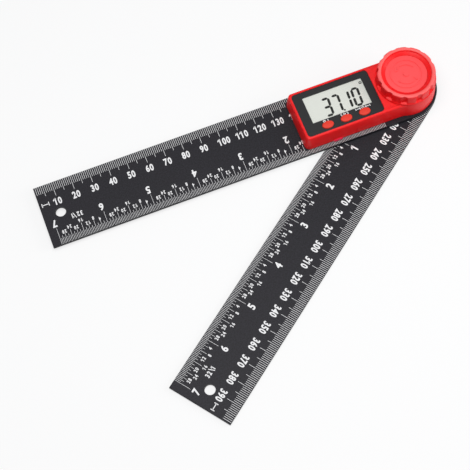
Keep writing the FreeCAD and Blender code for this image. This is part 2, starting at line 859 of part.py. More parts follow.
def make_battery_tray():
    """A drawer: floor, side walls, a front that carries on the housing's wall, and its tab."""
    tray = tray_slot(0, z_tray_bottom, z_cell_top)
    tray = tray.common(drafted(0, z_upper_top, z_housing_top))
    pocket_radius = cell_radius + cell_clearance
    low = z_cell_bottom
    high = z_cell_top + overrun
    tray = tray.cut(bar(pocket_radius, low, high, cell_centre_x, cell_centre_y))
    behind = block(
        cell_centre_x - pocket_radius,
        cell_centre_x + pocket_radius,
        cell_centre_y + pocket_radius / 2,
        cell_centre_y + cell_radius + overrun,
        low,
        high,
    )
    tray = tray.cut(behind)
    hole_low = z_tray_bottom - overrun
    hole_high = z_cell_bottom + overrun
    tray = tray.cut(bar(cell_radius / 2, hole_low, hole_high, cell_centre_x, cell_centre_y))
    tab = block(
        cell_centre_x - tray_tab_length / 2,
        cell_centre_x + tray_tab_length / 2,
        -body_half_width - tray_tab_reach,
        -body_half_width + tray_front_wall / 2,
        z_tray_bottom,
        z_tray_bottom + tray_tab_height,
    )
    return tray.fuse(tab).removeSplitter()


def screw_slot(x, y, low, high, radius):
    half = screw_slot_width / 2
    return block(x - radius, x + radius, y - half, y + half, low, high)


def make_housing_screws():
    """Four countersunk screws, flush with the underside of the upper arm."""
    screws = []
    for x, y in housing_screw_places:
        screw_top = z_upper_bottom + housing_screw_length
        screw = bar(housing_screw_radius, z_upper_bottom, screw_top, x, y, small_sides)
        screw = screw.fuse(screw_cone(x, y, 0))
        slot_low = z_upper_bottom - overrun
        slot_high = z_upper_bottom + screw_slot_depth
        screws.append(screw.cut(screw_slot(x, y, slot_low, slot_high, housing_screw_head_radius / 2)))
    return Part.makeCompound(screws)


def make_board_screws():
    """Two screws that hold the board up against its bosses."""
    screws = []
    for x, y in board_screw_places:
        head_low = z_board_bottom - board_screw_head_height
        screw_top = z_board_bottom + board_screw_length
        screw = bar(board_screw_radius, z_board_bottom, screw_top, x, y, small_sides)
        head = bar(board_screw_head_radius, head_low, z_board_bottom, x, y, small_sides)
        screw = screw.fuse(head)
        slot_high = head_low + screw_slot_depth
        slot = screw_slot(x, y, head_low - overrun, slot_high, board_screw_head_radius / 2)
        screws.append(screw.cut(slot))
    return Part.makeCompound(screws)


def make_thrust_washer():
    inner = stud_thread_radius + hub_bore_gap
    return tube(inner + thrust_washer_width, inner, z_housing_top, z_knob_boss_bottom)


def insert_outer_radius():
    return stud_thread_radius + knob_thread_gap + knob_insert_wall


def knob_outside():
    """The knob's outer form: foot, tapered side, round crest and the cone down to the disc."""
    foot_top = z_knob_bottom + knob_foot_height
    shoulder = z_knob_top - knob_ring_radius
    profile = [
        (knob_radius, z_knob_bottom),
        (knob_radius, foot_top),
        (knob_side_radius, foot_top + knob_foot_step),
    ]
    steps = quarter_steps()
    for inward, upward in steps:
        profile.append((knob_crest_outer - inward * knob_ring_radius, shoulder + upward * knob_ring_radius))
    return turning(profile, knob_sides)


def knob_dish():
    """What the knob lacks on top: the dish inside its crest, down to the cap's seat."""
    shoulder = z_knob_top - knob_ring_radius
    profile = [
        (knob_disc_radius, z_cap_bottom),
        (knob_disc_radius, z_disc_top),
    ]
    for inward, upward in quarter_steps()[:-1]:
        profile.append((knob_crest_inner + inward * knob_ring_radius, shoulder + upward * knob_ring_radius))
    crest_line = knob_crest_inner + knob_ring_radius
    profile.append((crest_line, z_knob_top))
    profile.append((crest_line, z_knob_top + overrun))
    return turning(profile, knob_sides)


def knob_flute():
    """One finger flute: an upright groove that stands on the foot and runs out over the crest."""
    reach = knob_side_radius - knob_flute_depth + knob_flute_radius
    low = z_knob_bottom + knob_foot_height + knob_foot_step
    return bar(knob_flute_radius, low, z_knob_top + overrun, reach, 0, flute_sides)


def make_lock_knob():
    """The red knob: a round body, hollow below, with flutes round its side."""
    knob = knob_outside().cut(knob_dish())
    hollow = bar(knob_radius - knob_skirt_wall, z_knob_bottom - overrun, z_web_bottom)
    boss_radius = insert_outer_radius() + knob_boss_wall
    knob = knob.cut(hollow)
    knob = knob.fuse(bar(boss_radius, z_knob_boss_bottom, z_cap_bottom))
    knob = knob.cut(bar(insert_outer_radius(), z_knob_boss_bottom - overrun, z_cap_bottom + overrun))
    flute = knob_flute()
    for number in range(knob_flute_count):
        angle = knob_flute_phase + number * FULL_TURN / knob_flute_count
        knob = knob.cut(turned(flute, angle))
    return knob.removeSplitter()


def make_knob_insert():
    """The brass thread moulded into the knob's boss."""
    bore = cylinder(stud_thread_radius + knob_thread_gap, z_knob_boss_bottom, z_cap_bottom)
    return bar(insert_outer_radius(), z_knob_boss_bottom, z_cap_bottom).cut(bore)


def make_knob_cap():
    """The plain disc that closes the knob's recess."""
    return bar(knob_disc_radius - knob_cap_fit, z_cap_bottom, z_disc_top, 0, 0, knob_sides)


def main():
    pieces = {
        "upper_arm": make_upper_arm(),
        "lower_arm": make_lower_arm(),
        "arm_washer": make_arm_washer(),
        "pivot_bush": make_pivot_bush(),
        "pivot_stud": make_pivot_stud(),
        "spring_washer": make_spring_washer(),
        "retaining_ring": make_retaining_ring(),
        "rotor_hub": make_rotor_hub(),
        "encoder_rotor": make_encoder_rotor(),
        "housing": make_housing(),
        "display_panel": make_display_panel(),
        "panel_adhesive": make_panel_adhesive(),
        "display_window": make_display_window(),
        "display_glass": make_display_glass(),
        "display_holder": make_display_holder(),
        "connector_strip": make_connector_strip(),
        "circuit_board": make_circuit_board(),
        "encoder_stator": make_encoder_stator(),
        "controller_chip": make_controller_chip(),
        "board_parts": make_board_parts(),
        "button_switches": make_button_switches(),
        "negative_contact": make_negative_contact(),
        "positive_contact": make_positive_contact(),
        "coin_cell": make_coin_cell(),
        "battery_tray": make_battery_tray(),
        "housing_screws": make_housing_screws(),
        "board_screws": make_board_screws(),
        "thrust_washer": make_thrust_washer(),
        "lock_knob": make_lock_knob(),
        "knob_insert": make_knob_insert(),
        "knob_cap": make_knob_cap(),
    }
    button_names = ["power_button", "hold_button", "zero_button"]
    for name, x in zip(button_names, button_places_x):
        pieces[name] = make_button(x)
    os.makedirs("parts", exist_ok=True)
    for name, shape in pieces.items():
        shape.exportStep("parts/" + name + ".step")
        print(name, len(shape.Solids), "solids, valid:", shape.isValid(), "volume:", round(shape.Volume, 2))


main()
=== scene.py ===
# %% [markdown]
# # Angle finder with two rules
# The CAD model is packed and fixed: this script loads it, keeps every piece in its place and
# gives it its looks. The rules, the panel and the hidden parts keep their CAD mesh and get a
# material. The moulded red parts, whose soft edges catch the light, are surfaces worked out with
# numpy over the CAD nodes. The printed scales and the display's digits are thin solids laid on
# the faces that carry them.

# %% Load the frame
import math

import bmesh
import bpy
import numpy as np
from mathutils import Matrix, Vector


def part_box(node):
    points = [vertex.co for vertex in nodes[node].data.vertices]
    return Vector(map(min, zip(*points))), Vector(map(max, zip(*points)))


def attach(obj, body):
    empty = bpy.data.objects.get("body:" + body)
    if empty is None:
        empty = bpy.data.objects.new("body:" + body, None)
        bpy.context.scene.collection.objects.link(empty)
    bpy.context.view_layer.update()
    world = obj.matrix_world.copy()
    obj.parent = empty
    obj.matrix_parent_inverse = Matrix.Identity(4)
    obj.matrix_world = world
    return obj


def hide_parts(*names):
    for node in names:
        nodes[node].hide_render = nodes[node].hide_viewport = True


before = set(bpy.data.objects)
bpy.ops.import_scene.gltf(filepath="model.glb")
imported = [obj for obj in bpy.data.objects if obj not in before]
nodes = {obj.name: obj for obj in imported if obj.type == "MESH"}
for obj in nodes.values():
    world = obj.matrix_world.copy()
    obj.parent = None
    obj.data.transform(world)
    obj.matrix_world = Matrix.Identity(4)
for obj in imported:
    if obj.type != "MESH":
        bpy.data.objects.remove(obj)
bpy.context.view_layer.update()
MM = 0.001

# %% [markdown]
# ## Sizes
# The script can't read the CAD source, so the sizes that it needs are read from the nodes'
# boxes where they can be, and repeated in millimetres where a box doesn't hold them.

# %% Sizes read from the frame, in millimetres


def box_mm(node):
    """A node's lowest and highest corners, in millimetres."""
    low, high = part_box(node)
    return np.array(low) / MM, np.array(high) / MM


upper_low, upper_high = box_mm("upper_arm")
housing_low, housing_high = box_mm("housing")
panel_low, panel_high = box_mm("display_panel")
glass_low, glass_high = box_mm("display_glass")
knob_low, knob_high = box_mm("lock_knob")
cap_low, cap_high = box_mm("knob_cap")
insert_low, insert_high = box_mm("knob_insert")
tray_low, tray_high = box_mm("battery_tray")
lower_top = box_mm("lower_arm")[1][2]
upper_top = upper_high[2]
arm_length = -upper_low[0]
arm_half = upper_high[1]
opening_angle = math.radians(37.1)
print("arm:", arm_length, "by", 2 * arm_half, "housing top:", round(housing_high[2], 3))

# %% [markdown]
# ## Materials
# Colours are written as the sRGB hex values that a paint or resin chart gives, and one function
# turns them to the linear light that Blender works in. One small function adds a node with its
# settings and its links, so a material reads as a short list of what is joined to what.

# %% Colour and node helpers


def linear(hex_colour):
    """sRGB to linear: c / 12.92 below 0.04045, else ((c + 0.055) / 1.055) ** 2.4."""
    code = hex_colour.lstrip("#")
    channels = np.array([int(code[i : i + 2], 16) for i in (0, 2, 4)]) / 255
    light = np.where(channels <= 0.04045, channels / 12.92, ((channels + 0.055) / 1.055) ** 2.4)
    return (*light.tolist(), 1.0)


def add_node(tree, kind, settings=None, links=None):
    """Add a node. Settings go on its attributes or sockets; links join sockets to outputs."""
    node = tree.nodes.new(kind)
    for name, value in (settings or {}).items():
        if hasattr(node, name) and name not in node.inputs:
            setattr(node, name, value)
        else:
            node.inputs[name].default_value = value
    for name, output in (links or {}).items():
        tree.links.new(output, node.inputs[name])
    return node


def new_material(name, hex_colour, **settings):
    """A material with one Principled shader, whose plain values sit on its own sockets."""
    material = bpy.data.materials.new(name)
    material.use_nodes = True
    shader = material.node_tree.nodes["Principled BSDF"]
    shader.inputs["Base Color"].default_value = linear(hex_colour)
    for socket, value in settings.items():
        shader.inputs[socket.replace("_", " ")].default_value = value
    return material


def grain(material, size_mm, depth_mm, detail=2.0):
    """A fine moulded or cast skin: noise bumps of the given size and depth."""
    tree = material.node_tree
    place = add_node(tree, "ShaderNodeTexCoord")
    noise = add_node(
        tree,
        "ShaderNodeTexNoise",
        {"Scale": 1 / (size_mm * MM), "Detail": detail},
        {"Vector": place.outputs["Object"]},
    )
    bump = add_node(
        tree,
        "ShaderNodeBump",
        {"Strength": 1.0, "Distance": depth_mm * MM},
        {"Height": noise.outputs["Fac"]},
    )
    shader = tree.nodes["Principled BSDF"]
    tree.links.new(bump.outputs["Normal"], shader.inputs["Normal"])
    return noise


def two_tones(material, noise, hex_dark, hex_light):
    """Let a noise pattern move the base colour between two close tones."""
    tree = material.node_tree
    ramp = add_node(tree, "ShaderNodeValToRGB", links={"Fac": noise.outputs["Fac"]})
    ramp.color_ramp.elements[0].position = 0.35
    ramp.color_ramp.elements[0].color = linear(hex_dark)
    ramp.color_ramp.elements[1].position = 0.65
    ramp.color_ramp.elements[1].color = linear(hex_light)
    shader = tree.nodes["Principled BSDF"]
    tree.links.new(ramp.outputs["Color"], shader.inputs["Base Color"])


# %% [markdown]
# ### The rules
# The rules are pressed from a black glass-filled plastic sheet. Short fibres near the skin give
# it a faint lighter speckle and a satin, slightly uneven shine. The speckle is drawn 0.7 mm
# wide, several times the real fibre, because a finer one would vanish in the render.

# %% Rule material
sheet_black = new_material(
    "glass_filled_sheet_black", "#1B1A1E", Roughness=0.5, Specular_IOR_Level=0.16
)
sheet_speckle = grain(sheet_black, 0.7, 0.012, 3.0)
two_tones(sheet_black, sheet_speckle, "#151418", "#232228")

# %% [markdown]
# ### Painted sheen and a pinker tab
# The knob's crest is painted paler towards its top: a painted sheen that stands in for the soft
# lamp's shine on its round edge. The tray's small tab, which stands out from the wall, is given a
# cooler, pinker red than the rest. Each is told from its piece by its place: the colour changes
# over a short way along one of the object's own axes.

# %% Colour by place


def second_colour(material, hex_colour, axis, start_mm, stop_mm):
    """Mix to a second colour while the object's X, Y or Z goes from start to stop."""
    tree = material.node_tree
    shader = tree.nodes["Principled BSDF"]
    place = add_node(tree, "ShaderNodeTexCoord")
    axes = add_node(tree, "ShaderNodeSeparateXYZ", links={0: place.outputs["Object"]})
    limits = {"From Min": start_mm * MM, "From Max": stop_mm * MM}
    share = add_node(tree, "ShaderNodeMapRange", limits, {"Value": axes.outputs[axis]})
    mix = add_node(tree, "ShaderNodeMix", {"data_type": "RGBA"})
    tree.links.new(share.outputs["Result"], mix.inputs["Factor"])
    mix.inputs[6].default_value = shader.inputs["Base Color"].default_value
    mix.inputs[7].default_value = linear(hex_colour)
    tree.links.new(mix.outputs[2], shader.inputs["Base Color"])


# %% [markdown]
# ### Red mouldings
# Housing and knob are ABS, moulded in a polished tool with a light spark-erosion texture, which
# spreads the shine: soft bright lines on the round edges and no mirror. The knob's disc has a
# coarser, matt texture, and its paler colour is partly a painted sheen, standing in for the wide
# lamp's shine. The buttons are moulded of silicone rubber, a little duller and more orange than
# the shell.

# %% Red materials
abs_red = new_material("moulded_abs_red", "#EE1215", Roughness=0.4, Specular_IOR_Level=0.32)
knob_red = new_material("moulded_abs_knob_red", "#F01216", Roughness=0.4, Specular_IOR_Level=0.25)
tray_red = new_material("moulded_abs_tray_red", "#EE1215", Roughness=0.4, Specular_IOR_Level=0.32)
for moulded in (abs_red, knob_red, tray_red):
    grain(moulded, 0.5, 0.002)
crest_sheen_starts_z = knob_high[2] - 0.6
crest_sheen_full_z = knob_high[2] - 0.3
# Painted sheen: the knob's crest turns a paler red over its top 0.6 mm, in place of the lamp's
# shine.
second_colour(knob_red, "#FC6664", "Z", crest_sheen_starts_z, crest_sheen_full_z)
# Past the wall's face the tray's tab is coloured a cooler, pinker red.
tab_starts_y = -14.98
tab_full_y = -15.02
second_colour(tray_red, "#CC2446", "Y", tab_starts_y, tab_full_y)
# Partly painted sheen: the disc's red is drawn paler for the lamp's shine, and its roughness and
# grain are its real matt texture.
matt_red_painted_sheen = new_material("matt_abs_red_painted_sheen", "#F84C4E", Roughness=0.6, Specular_IOR_Level=0.4)
grain(matt_red_painted_sheen, 0.35, 0.008)
button_red = new_material("silicone_red", "#DE3826", Roughness=0.5, Specular_IOR_Level=0.3)

# %% [markdown]
# ### Display
# The panel is a screen-printed polycarbonate sheet, black and satin. The lens is clear acrylic,
# drawn dark with a low alpha: it shows its gloss and lays no haze over the digits. The liquid
# crystal glass has a pale grey-green reflector, and dark segments just under the front plate.

# %% Display materials
panel_black = new_material(
    "printed_polycarbonate_black", "#17181A", Roughness=0.38, Specular_IOR_Level=0.25
)
clear_acrylic = new_material("clear_acrylic", "#101214", Roughness=0.04, IOR=1.49, Alpha=0.04)
lcd_reflector = new_material("lcd_reflector", "#E8EBE2", Roughness=0.45, Specular_IOR_Level=0.3)
lcd_segment = new_material("lcd_segment", "#1A1C1A", Roughness=0.5, Specular_IOR_Level=0.2)
print_white = new_material("screen_ink_white", "#F0F0F0", Roughness=0.55, Specular_IOR_Level=0.25)

# %% [markdown]
# ### Inside and underneath
# The board, the cell, the contacts and the fasteners show only from below or when the tray is
# out. Metals keep the default IOR and differ in colour and roughness: turned steel is brushed
# fine, sintered bronze is duller, and bronze, brass and copper are warm. The board's lacquer is
# glossy, moulded plastics are satin, and tape and rubber strip are dull.

# %% Hidden materials
abs_white = new_material("moulded_abs_white", "#E4E2DC", Roughness=0.45, IOR=1.54)
board_green = new_material("solder_mask_green", "#1F5A3A", Roughness=0.3)
chip_black = new_material("epoxy_black", "#1B1B1D", Roughness=0.55)
elastomer = new_material("layered_elastomer", "#D9A7A0", Roughness=0.7)
tape_white = new_material("adhesive_tape", "#D8D4C6", Roughness=0.6)
slip_film = new_material("slip_film_clear_amber", "#B98D4A", Roughness=0.35)
steel = new_material("turned_steel", "#C3C6C9", Metallic=1.0, Roughness=0.3)
bronze = new_material("sintered_bronze", "#A97B4E", Metallic=1.0, Roughness=0.42)
brass = new_material("turned_brass", "#C9A75B", Metallic=1.0, Roughness=0.28)
copper = new_material("etched_copper", "#BF7A5A", Metallic=1.0, Roughness=0.35)
for metal, size_mm in ((steel, 0.25), (bronze, 0.2), (brass, 0.25), (copper, 0.3)):
    grain(metal, size_mm, 0.002)
for plastic, size_mm in ((abs_white, 0.4), (board_green, 0.5), (chip_black, 0.3)):
    grain(plastic, size_mm, 0.003)

slot_finish = {
    "arm_black": sheet_black,
    "housing_red": abs_red,
    "button_red": button_red,
    "panel_black": panel_black,
    "clear_lens": clear_acrylic,
    "display_glass": lcd_reflector,
    "white_plastic": abs_white,
    "board_green": board_green,
    "chip_black": chip_black,
    "elastomer": elastomer,
    "adhesive_tape": tape_white,
    "slip_film": slip_film,
    "steel": steel,
    "bronze": bronze,
    "brass": brass,
    "copper": copper,
}
print("finishes:", len(slot_finish))

# %% [markdown]
# ## Meshes from whole arrays
# A shape is a function of two parameters sampled on a grid. Row after row of points goes into
# one array, and the faces are the grid's squares, so no loop runs over vertices. Where a row
# shrinks to a point, a pole, its squares become triangles and the doubled points are merged.
# Shapes are worked out in millimetres, and new_piece turns them to metres. Points less than a
# thousandth of a millimetre apart are merged, and in the fine print a tenth of that.

# %% Grid, solid and piece helpers
merge_distance = 0.001
fine_merge_distance = 0.0001
sharp_angle = math.radians(32.0)


def grid_faces(rows, columns, closed_over):
    """Squares between neighbours: the columns close round, and the rows too if closed_over."""
    row = np.arange(rows if closed_over else rows - 1)[:, None]
    column = np.arange(columns)[None, :]
    next_row = (row + 1) % rows
    next_column = (column + 1) % columns
    corners = (
        row * columns + column,
        row * columns + next_column,
        next_row * columns + next_column,
        next_row * columns + column,
    )
    return np.stack(corners, axis=-1).reshape(-1, 4)


def tidy(mesh, merge_mm):
    """Merge doubled points, drop faces without area and turn every face outwards."""
    work = bmesh.new()
    work.from_mesh(mesh)
    bmesh.ops.remove_doubles(work, verts=work.verts, dist=merge_mm * MM)
    bmesh.ops.dissolve_degenerate(work, edges=work.edges, dist=merge_mm * MM)
    bmesh.ops.recalc_face_normals(work, faces=work.faces)
    work.to_mesh(mesh)
    work.free()


def finish_piece(piece, material, body):
    """Smooth shading up to the sharp angle, one material and the CAD body."""
    mesh = piece.data
    mesh.materials.clear()
    mesh.materials.append(material)
    mesh.shade_smooth()
    mesh.set_sharp_from_angle(angle=sharp_angle)
    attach(piece, body)
    print(piece.name, len(mesh.polygons), "faces")


def new_piece(name, points_mm, faces, merge_mm=merge_distance):
    """A mesh object at the origin from points in millimetres and rows of corner numbers."""
    mesh = bpy.data.meshes.new(name)
    corner_rows = faces.tolist() if isinstance(faces, np.ndarray) else faces
    mesh.from_pydata((np.asarray(points_mm) * MM).tolist(), [], corner_rows)
    tidy(mesh, merge_mm)
    piece = bpy.data.objects.new(name, mesh)
    bpy.context.scene.collection.objects.link(piece)
    return piece


def join_solids(solids):
    """Many (points, faces) pairs as one pair, with the corner numbers moved along."""
    points = []
    faces = []
    start = 0
    for solid_points, solid_faces in solids:
        points.append(solid_points)
        faces.extend((np.asarray(solid_faces) + start).tolist())
        start += len(solid_points)
    return np.concatenate(points), faces


def lofted(rings, closed_over=False):
    """Rings of shape (rows, columns, 3) as points and squares."""
    rows, columns = rings.shape[:2]
    return rings.reshape(-1, 3), grid_faces(rows, columns, closed_over)


def capped(rings):
    """A loft whose first and last rings close in their own middle."""
    first = np.broadcast_to(rings[0].mean(axis=0), rings[0].shape)
    last = np.broadcast_to(rings[-1].mean(axis=0), rings[-1].shape)
    return lofted(np.concatenate([first[None], rings, last[None]]))


def at_level(outline, level):
    """A plan outline, rows of (x, y), at one height."""
    return np.column_stack([outline, np.full(len(outline), level)])


def prism(outline, low, high):
    """An upright solid: a plan outline at two heights, closed at both ends."""
    return capped(np.stack([at_level(outline, low), at_level(outline, high)]))


def full_turn(count):
    """Angles spread evenly over a full turn."""
    return np.arange(count) * 2 * np.pi / count


def circle(radius, count, x=0.0, y=0.0, stretch=1.0):
    """(x + stretch r cos a, y + r sin a) for evenly spread angles a."""
    angle = full_turn(count)
    return np.stack([x + stretch * radius * np.cos(angle), y + radius * np.sin(angle)], axis=-1)


def round_points(half_x, half_y, angle, level):
    """(half_x cos a, half_y sin a, level), on the grid to which the four arrays spread."""
    x = half_x * np.cos(angle)
    y = half_y * np.sin(angle)
    return np.stack(np.broadcast_arrays(x, y, level), axis=-1)


def rectangle(x_low, x_high, y_low, y_high):
    """The four corners (x, y), anticlockwise."""
    return np.array([(x_low, y_low), (x_high, y_low), (x_high, y_high), (x_low, y_high)])


def quarter(steps):
    """Quarter circle from 0 to 90 degrees: 1 - cos and sin of each angle."""
    angle = np.linspace(0, np.pi / 2, steps + 1)
    return 1 - np.cos(angle), np.sin(angle)


# %% [markdown]
# ## Housing
# The housing is one moulding: straight body, round hub, hollow blends between them, walls that
# stand upright on the rule and lean in as they rise, a round rim, and a recess for the panel. In
# plan every inset of its outline is made of the same eight pieces, because an inset only changes
# radii about fixed centres. So the skin is a grid: around the plan in one direction, and from
# the recess over the rim, down the wall, under the foot and up the inside in the other. The
# window, the button holes, the bore and the tray's slot are then cut with one Boolean, which is
# the easy way to keep sharp edges where a wall is pierced.

# %% Housing outline
body_half = 14.95
hub_radius = 16.35
corner_radius = 2.8
blend_radius = 12.0
wall = 1.5
draft = 0.9
rim_round = 0.95
recess_round = 0.2
wall_bow = 1.8
recess_fit = 0.1
recess_corner = 1.9
foot = upper_top
roof = housing_high[2]
tape_thickness = 0.1
deck_thickness = 1.0
deck = panel_low[2] - tape_thickness
deck_under = deck - deck_thickness
under_middle_share = 0.3
body_end = -housing_low[0]
wall_rows = 9
outline_steps = {"side": 30, "blend": 14, "hub": 110, "corner": 14, "end": 12}


def arc_points(centre_x, centre_y, radius, start, stop, steps):
    """Centre plus radius times (cos a, sin a), a from start up to but not including stop."""
    angle = start + (stop - start) * np.arange(steps) / steps
    return np.stack([centre_x + radius * np.cos(angle), centre_y + radius * np.sin(angle)], axis=-1)


def run_points(start, stop, steps):
    """Even steps along a straight run, its last point left to the next piece."""
    share = (np.arange(steps) / steps)[:, None]
    return np.array(start) * (1 - share) + np.array(stop) * share


def housing_plan(inset):
    """The plan outline, inset: side, blend, hub, blend, side, corner, end, corner."""
    steps = outline_steps
    half = body_half - inset
    hub = hub_radius - inset
    end = body_end - inset
    corner = corner_radius - inset
    blend = blend_radius + inset
    blend_y = half + blend
    blend_x = -math.sqrt((hub + blend) ** 2 - blend_y**2)
    lean = math.atan2(blend_y, -blend_x)
    turn = np.pi / 2
    centre_x = -end + corner
    centre_y = half - corner
    pieces = [
        run_points((centre_x, -half), (blend_x, -half), steps["side"]),
        arc_points(blend_x, -blend_y, blend, turn, lean, steps["blend"]),
        arc_points(0, 0, hub, lean - np.pi, np.pi - lean, steps["hub"]),
        arc_points(blend_x, blend_y, blend, -lean, -turn, steps["blend"]),
        run_points((blend_x, half), (centre_x, half), steps["side"]),
        arc_points(centre_x, centre_y, corner, turn, 2 * turn, steps["corner"]),
        run_points((-end, centre_y), (-end, -centre_y), steps["end"]),
        arc_points(centre_x, -centre_y, corner, 2 * turn, 3 * turn, steps["corner"]),
    ]
    return np.concatenate(pieces)


print("housing outline:", len(housing_plan(0.0)), "points")

# %% [markdown]
# The recess is a rounded rectangle round the panel, a hair wider, so that the panel drops in. It
# has as many points as the outline, because the roof is the strip between the two lines.

# %% Recess outline


def recess_plan(growth):
    """The rounded recess, in as many points piece by piece as the outline round it.

    Its corners face the outline's corners and blends, and its end by the hub faces the hub, so
    the strips between the two lines spread evenly over the roof and never cross.
    """
    steps = outline_steps
    turn = np.pi / 2
    corner = recess_corner + growth
    x_low, y_low = panel_low[:2] - recess_fit + recess_corner
    x_high, y_high = panel_high[:2] + recess_fit - recess_corner
    pieces = [
        run_points((x_low, y_low - corner), (x_high, y_low - corner), steps["side"]),
        arc_points(x_high, y_low, corner, -turn, 0, steps["blend"]),
        run_points((x_high + corner, y_low), (x_high + corner, y_high), steps["hub"]),
        arc_points(x_high, y_high, corner, 0, turn, steps["blend"]),
        run_points((x_high, y_high + corner), (x_low, y_high + corner), steps["side"]),
        arc_points(x_low, y_high, corner, turn, 2 * turn, steps["corner"]),
        run_points((x_low - corner, y_high), (x_low - corner, y_low), steps["end"]),
        arc_points(x_low, y_low, corner, 2 * turn, 3 * turn, steps["corner"]),
    ]
    return np.concatenate(pieces)


print("recess outline:", len(recess_plan(0.0)), "points")

# %% [markdown]
# The two lines are now stacked into the skin. A mould's walls need a draft to come free, and
# these stand upright at the foot and lean in more and more as they rise, so the inset grows as a
# power of the height.

# %% Housing skin


def lean_at(level):
    """How far the wall has come in: the draft times a power of the height's share."""
    return draft * ((level - foot) / (roof - foot)) ** wall_bow


def housing_rings():
    """The skin's rows, from the middle of the recess's floor round to the deck's underside.

    Each round is a quarter circle: the inset grows as 1 - cos a while the height grows as sin a.
    """
    inward, upward = quarter(6)
    recess_line = recess_plan(0.0)
    deck_middle = np.array([(panel_low[0] + panel_high[0]) / 2, 0.0])
    rows = [at_level(np.broadcast_to(deck_middle, recess_line.shape), deck)]
    rows.append(at_level(recess_line, deck))
    for share_in, share_up in zip(inward, upward):
        level = roof - recess_round + recess_round * share_up
        rows.append(at_level(recess_plan(recess_round * share_in), level))
    shoulder = roof - rim_round
    width = draft + rim_round - lean_at(shoulder)
    for share_in, share_up in zip(inward[::-1], upward[::-1]):
        inset = lean_at(shoulder) + width * share_in
        rows.append(at_level(housing_plan(inset), shoulder + rim_round * share_up))
    for level in np.linspace(shoulder, foot, wall_rows)[1:]:
        rows.append(at_level(housing_plan(lean_at(level)), level))
    rows.append(at_level(housing_plan(wall), foot))
    rows.append(at_level(housing_plan(wall + lean_at(deck_under)), deck_under))
    under_middle = np.array([-under_middle_share * body_end, 0.0])
    rows.append(at_level(np.broadcast_to(under_middle, recess_line.shape), deck_under))
    return np.stack(rows)


housing_skin = new_piece("housing_skin", *lofted(housing_rings()))
print("housing skin:", len(housing_skin.data.polygons), "faces before its openings")

# %% [markdown]
# The cutters are plain prisms in one mesh. The Boolean's result is read off as a new mesh and
# the cutters are deleted, so the finished piece carries no live modifier.

# %% Housing openings
button_centres_x = (-47.2, -37.0, -26.8)
button_centre_y = -9.5
button_half_length = 3.1
button_half_width = 2.1
button_gap = 0.15
past = 0.5
bore_radius = 3.3
glass_gap = 0.15
tray_side = 0.15
tray_over = 0.1
cell_back_y = 7.0
bore_count = 64
oval_count = 96


def button_plan(x, growth):
    """An ellipse round one button's centre, grown by a margin."""
    half_width = button_half_width + growth
    stretch = (button_half_length + growth) / half_width
    return circle(half_width, oval_count, x, button_centre_y, stretch)


def housing_cutters():
    """Upright prisms: window and buttons through the deck, bore to the roof, slot to the tray."""
    window_low = glass_low - glass_gap
    window_high = glass_high + glass_gap
    window = rectangle(window_low[0], window_high[0], window_low[1], window_high[1])
    slot_low = tray_low[0] - tray_side
    slot_high = tray_high[0] + tray_side
    slot = rectangle(slot_low, slot_high, -body_half - past, cell_back_y)
    bore = circle(bore_radius, bore_count)
    low = deck_under - past
    solids = [prism(button_plan(x, button_gap), low, deck + past) for x in button_centres_x]
    solids.append(prism(window, low, deck + past))
    solids.append(prism(bore, low, roof + past))
    solids.append(prism(slot, foot - past, tray_high[2] + tray_over))
    return join_solids(solids)


def cut(piece, cutter_points, cutter_faces):
    """Cut with a Boolean difference and keep only the result."""
    cutter = new_piece("cutter", cutter_points, cutter_faces)
    modifier = piece.modifiers.new("openings", "BOOLEAN")
    modifier.operation = "DIFFERENCE"
    modifier.solver = "EXACT"
    modifier.object = cutter
    depsgraph = bpy.context.evaluated_depsgraph_get()
    result = bpy.data.meshes.new_from_object(piece.evaluated_get(depsgraph))
    result.name = piece.name
    piece.modifiers.clear()
    piece.data = result
    bpy.data.objects.remove(cutter)


cut(housing_skin, *housing_cutters())
finish_piece(housing_skin, abs_red, "upper")
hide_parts("housing")

# %% [markdown]
# Inside the shell, four screw bosses stand on the rule and two guide ribs run beside the tray.
# They show only through the tray's slot, so they are plain prisms rooted in the deck.

# %% Housing bosses and ribs
boss_radius = 1.9
far_boss = (-58.4, 12.15)
hub_boss = 9.581
boss_root = 0.2
boss_count = 32
rib_thickness = 1.0
rib_over = 0.3
rib_back_y = -3.0
rib_front_y = -13.9


def boss_solids():
    """Round prisms at the screws, in pairs either side of the rule's middle, and two ribs."""
    solids = []
    for x, y in (far_boss, (hub_boss, hub_boss)):
        for side in (-1, 1):
            boss = circle(boss_radius, boss_count, x, side * y)
            solids.append(prism(boss, foot, deck_under + boss_root))
    for x_low in (tray_low[0] - tray_side - rib_thickness, tray_high[0] + tray_side):
        rib = rectangle(x_low, x_low + rib_thickness, rib_front_y, rib_back_y)
        solids.append(prism(rib, foot, tray_high[2] + rib_over))
    return join_solids(solids)


housing_bosses = new_piece("housing_bosses", *boss_solids())
finish_piece(housing_bosses, abs_red, "upper")

# %% [markdown]
# ## Locking knob
# The knob is one moulding with finger flutes round it. It could be turned by a Spin and fluted by
# a Boolean, but one surface keeps the crest's round edge even where a flute runs over it. First
# comes the turned profile, a closed line of radius and height: the boss round the brass insert,
# the web, the skirt, the foot, the side with its slight taper, the round crest and the seat of
# the disc.

# %% Knob profile
knob_radius = knob_high[0]
knob_foot = knob_low[2]
knob_top = knob_high[2]
foot_height = 1.1
foot_step = 0.35
side_taper = 0.35
crest_width = 2.4
crest_round = 1.15
skirt_wall = 2.3
boss_outer = 6.85
flute_count = 12
flute_phase = math.radians(3.0)
flute_radius = 2.3
flute_depth = 1.1
flute_floor = knob_foot + foot_height + foot_step
foot_chamfer = 0.15
foot_bevel_width = 0.08
foot_bevel_height = 0.2
web_thickness = 1.6
disc_fit = 0.05
seat_bevel_width = 0.12
seat_bevel_half = 0.05
side_rows = 14
knob_columns = 720


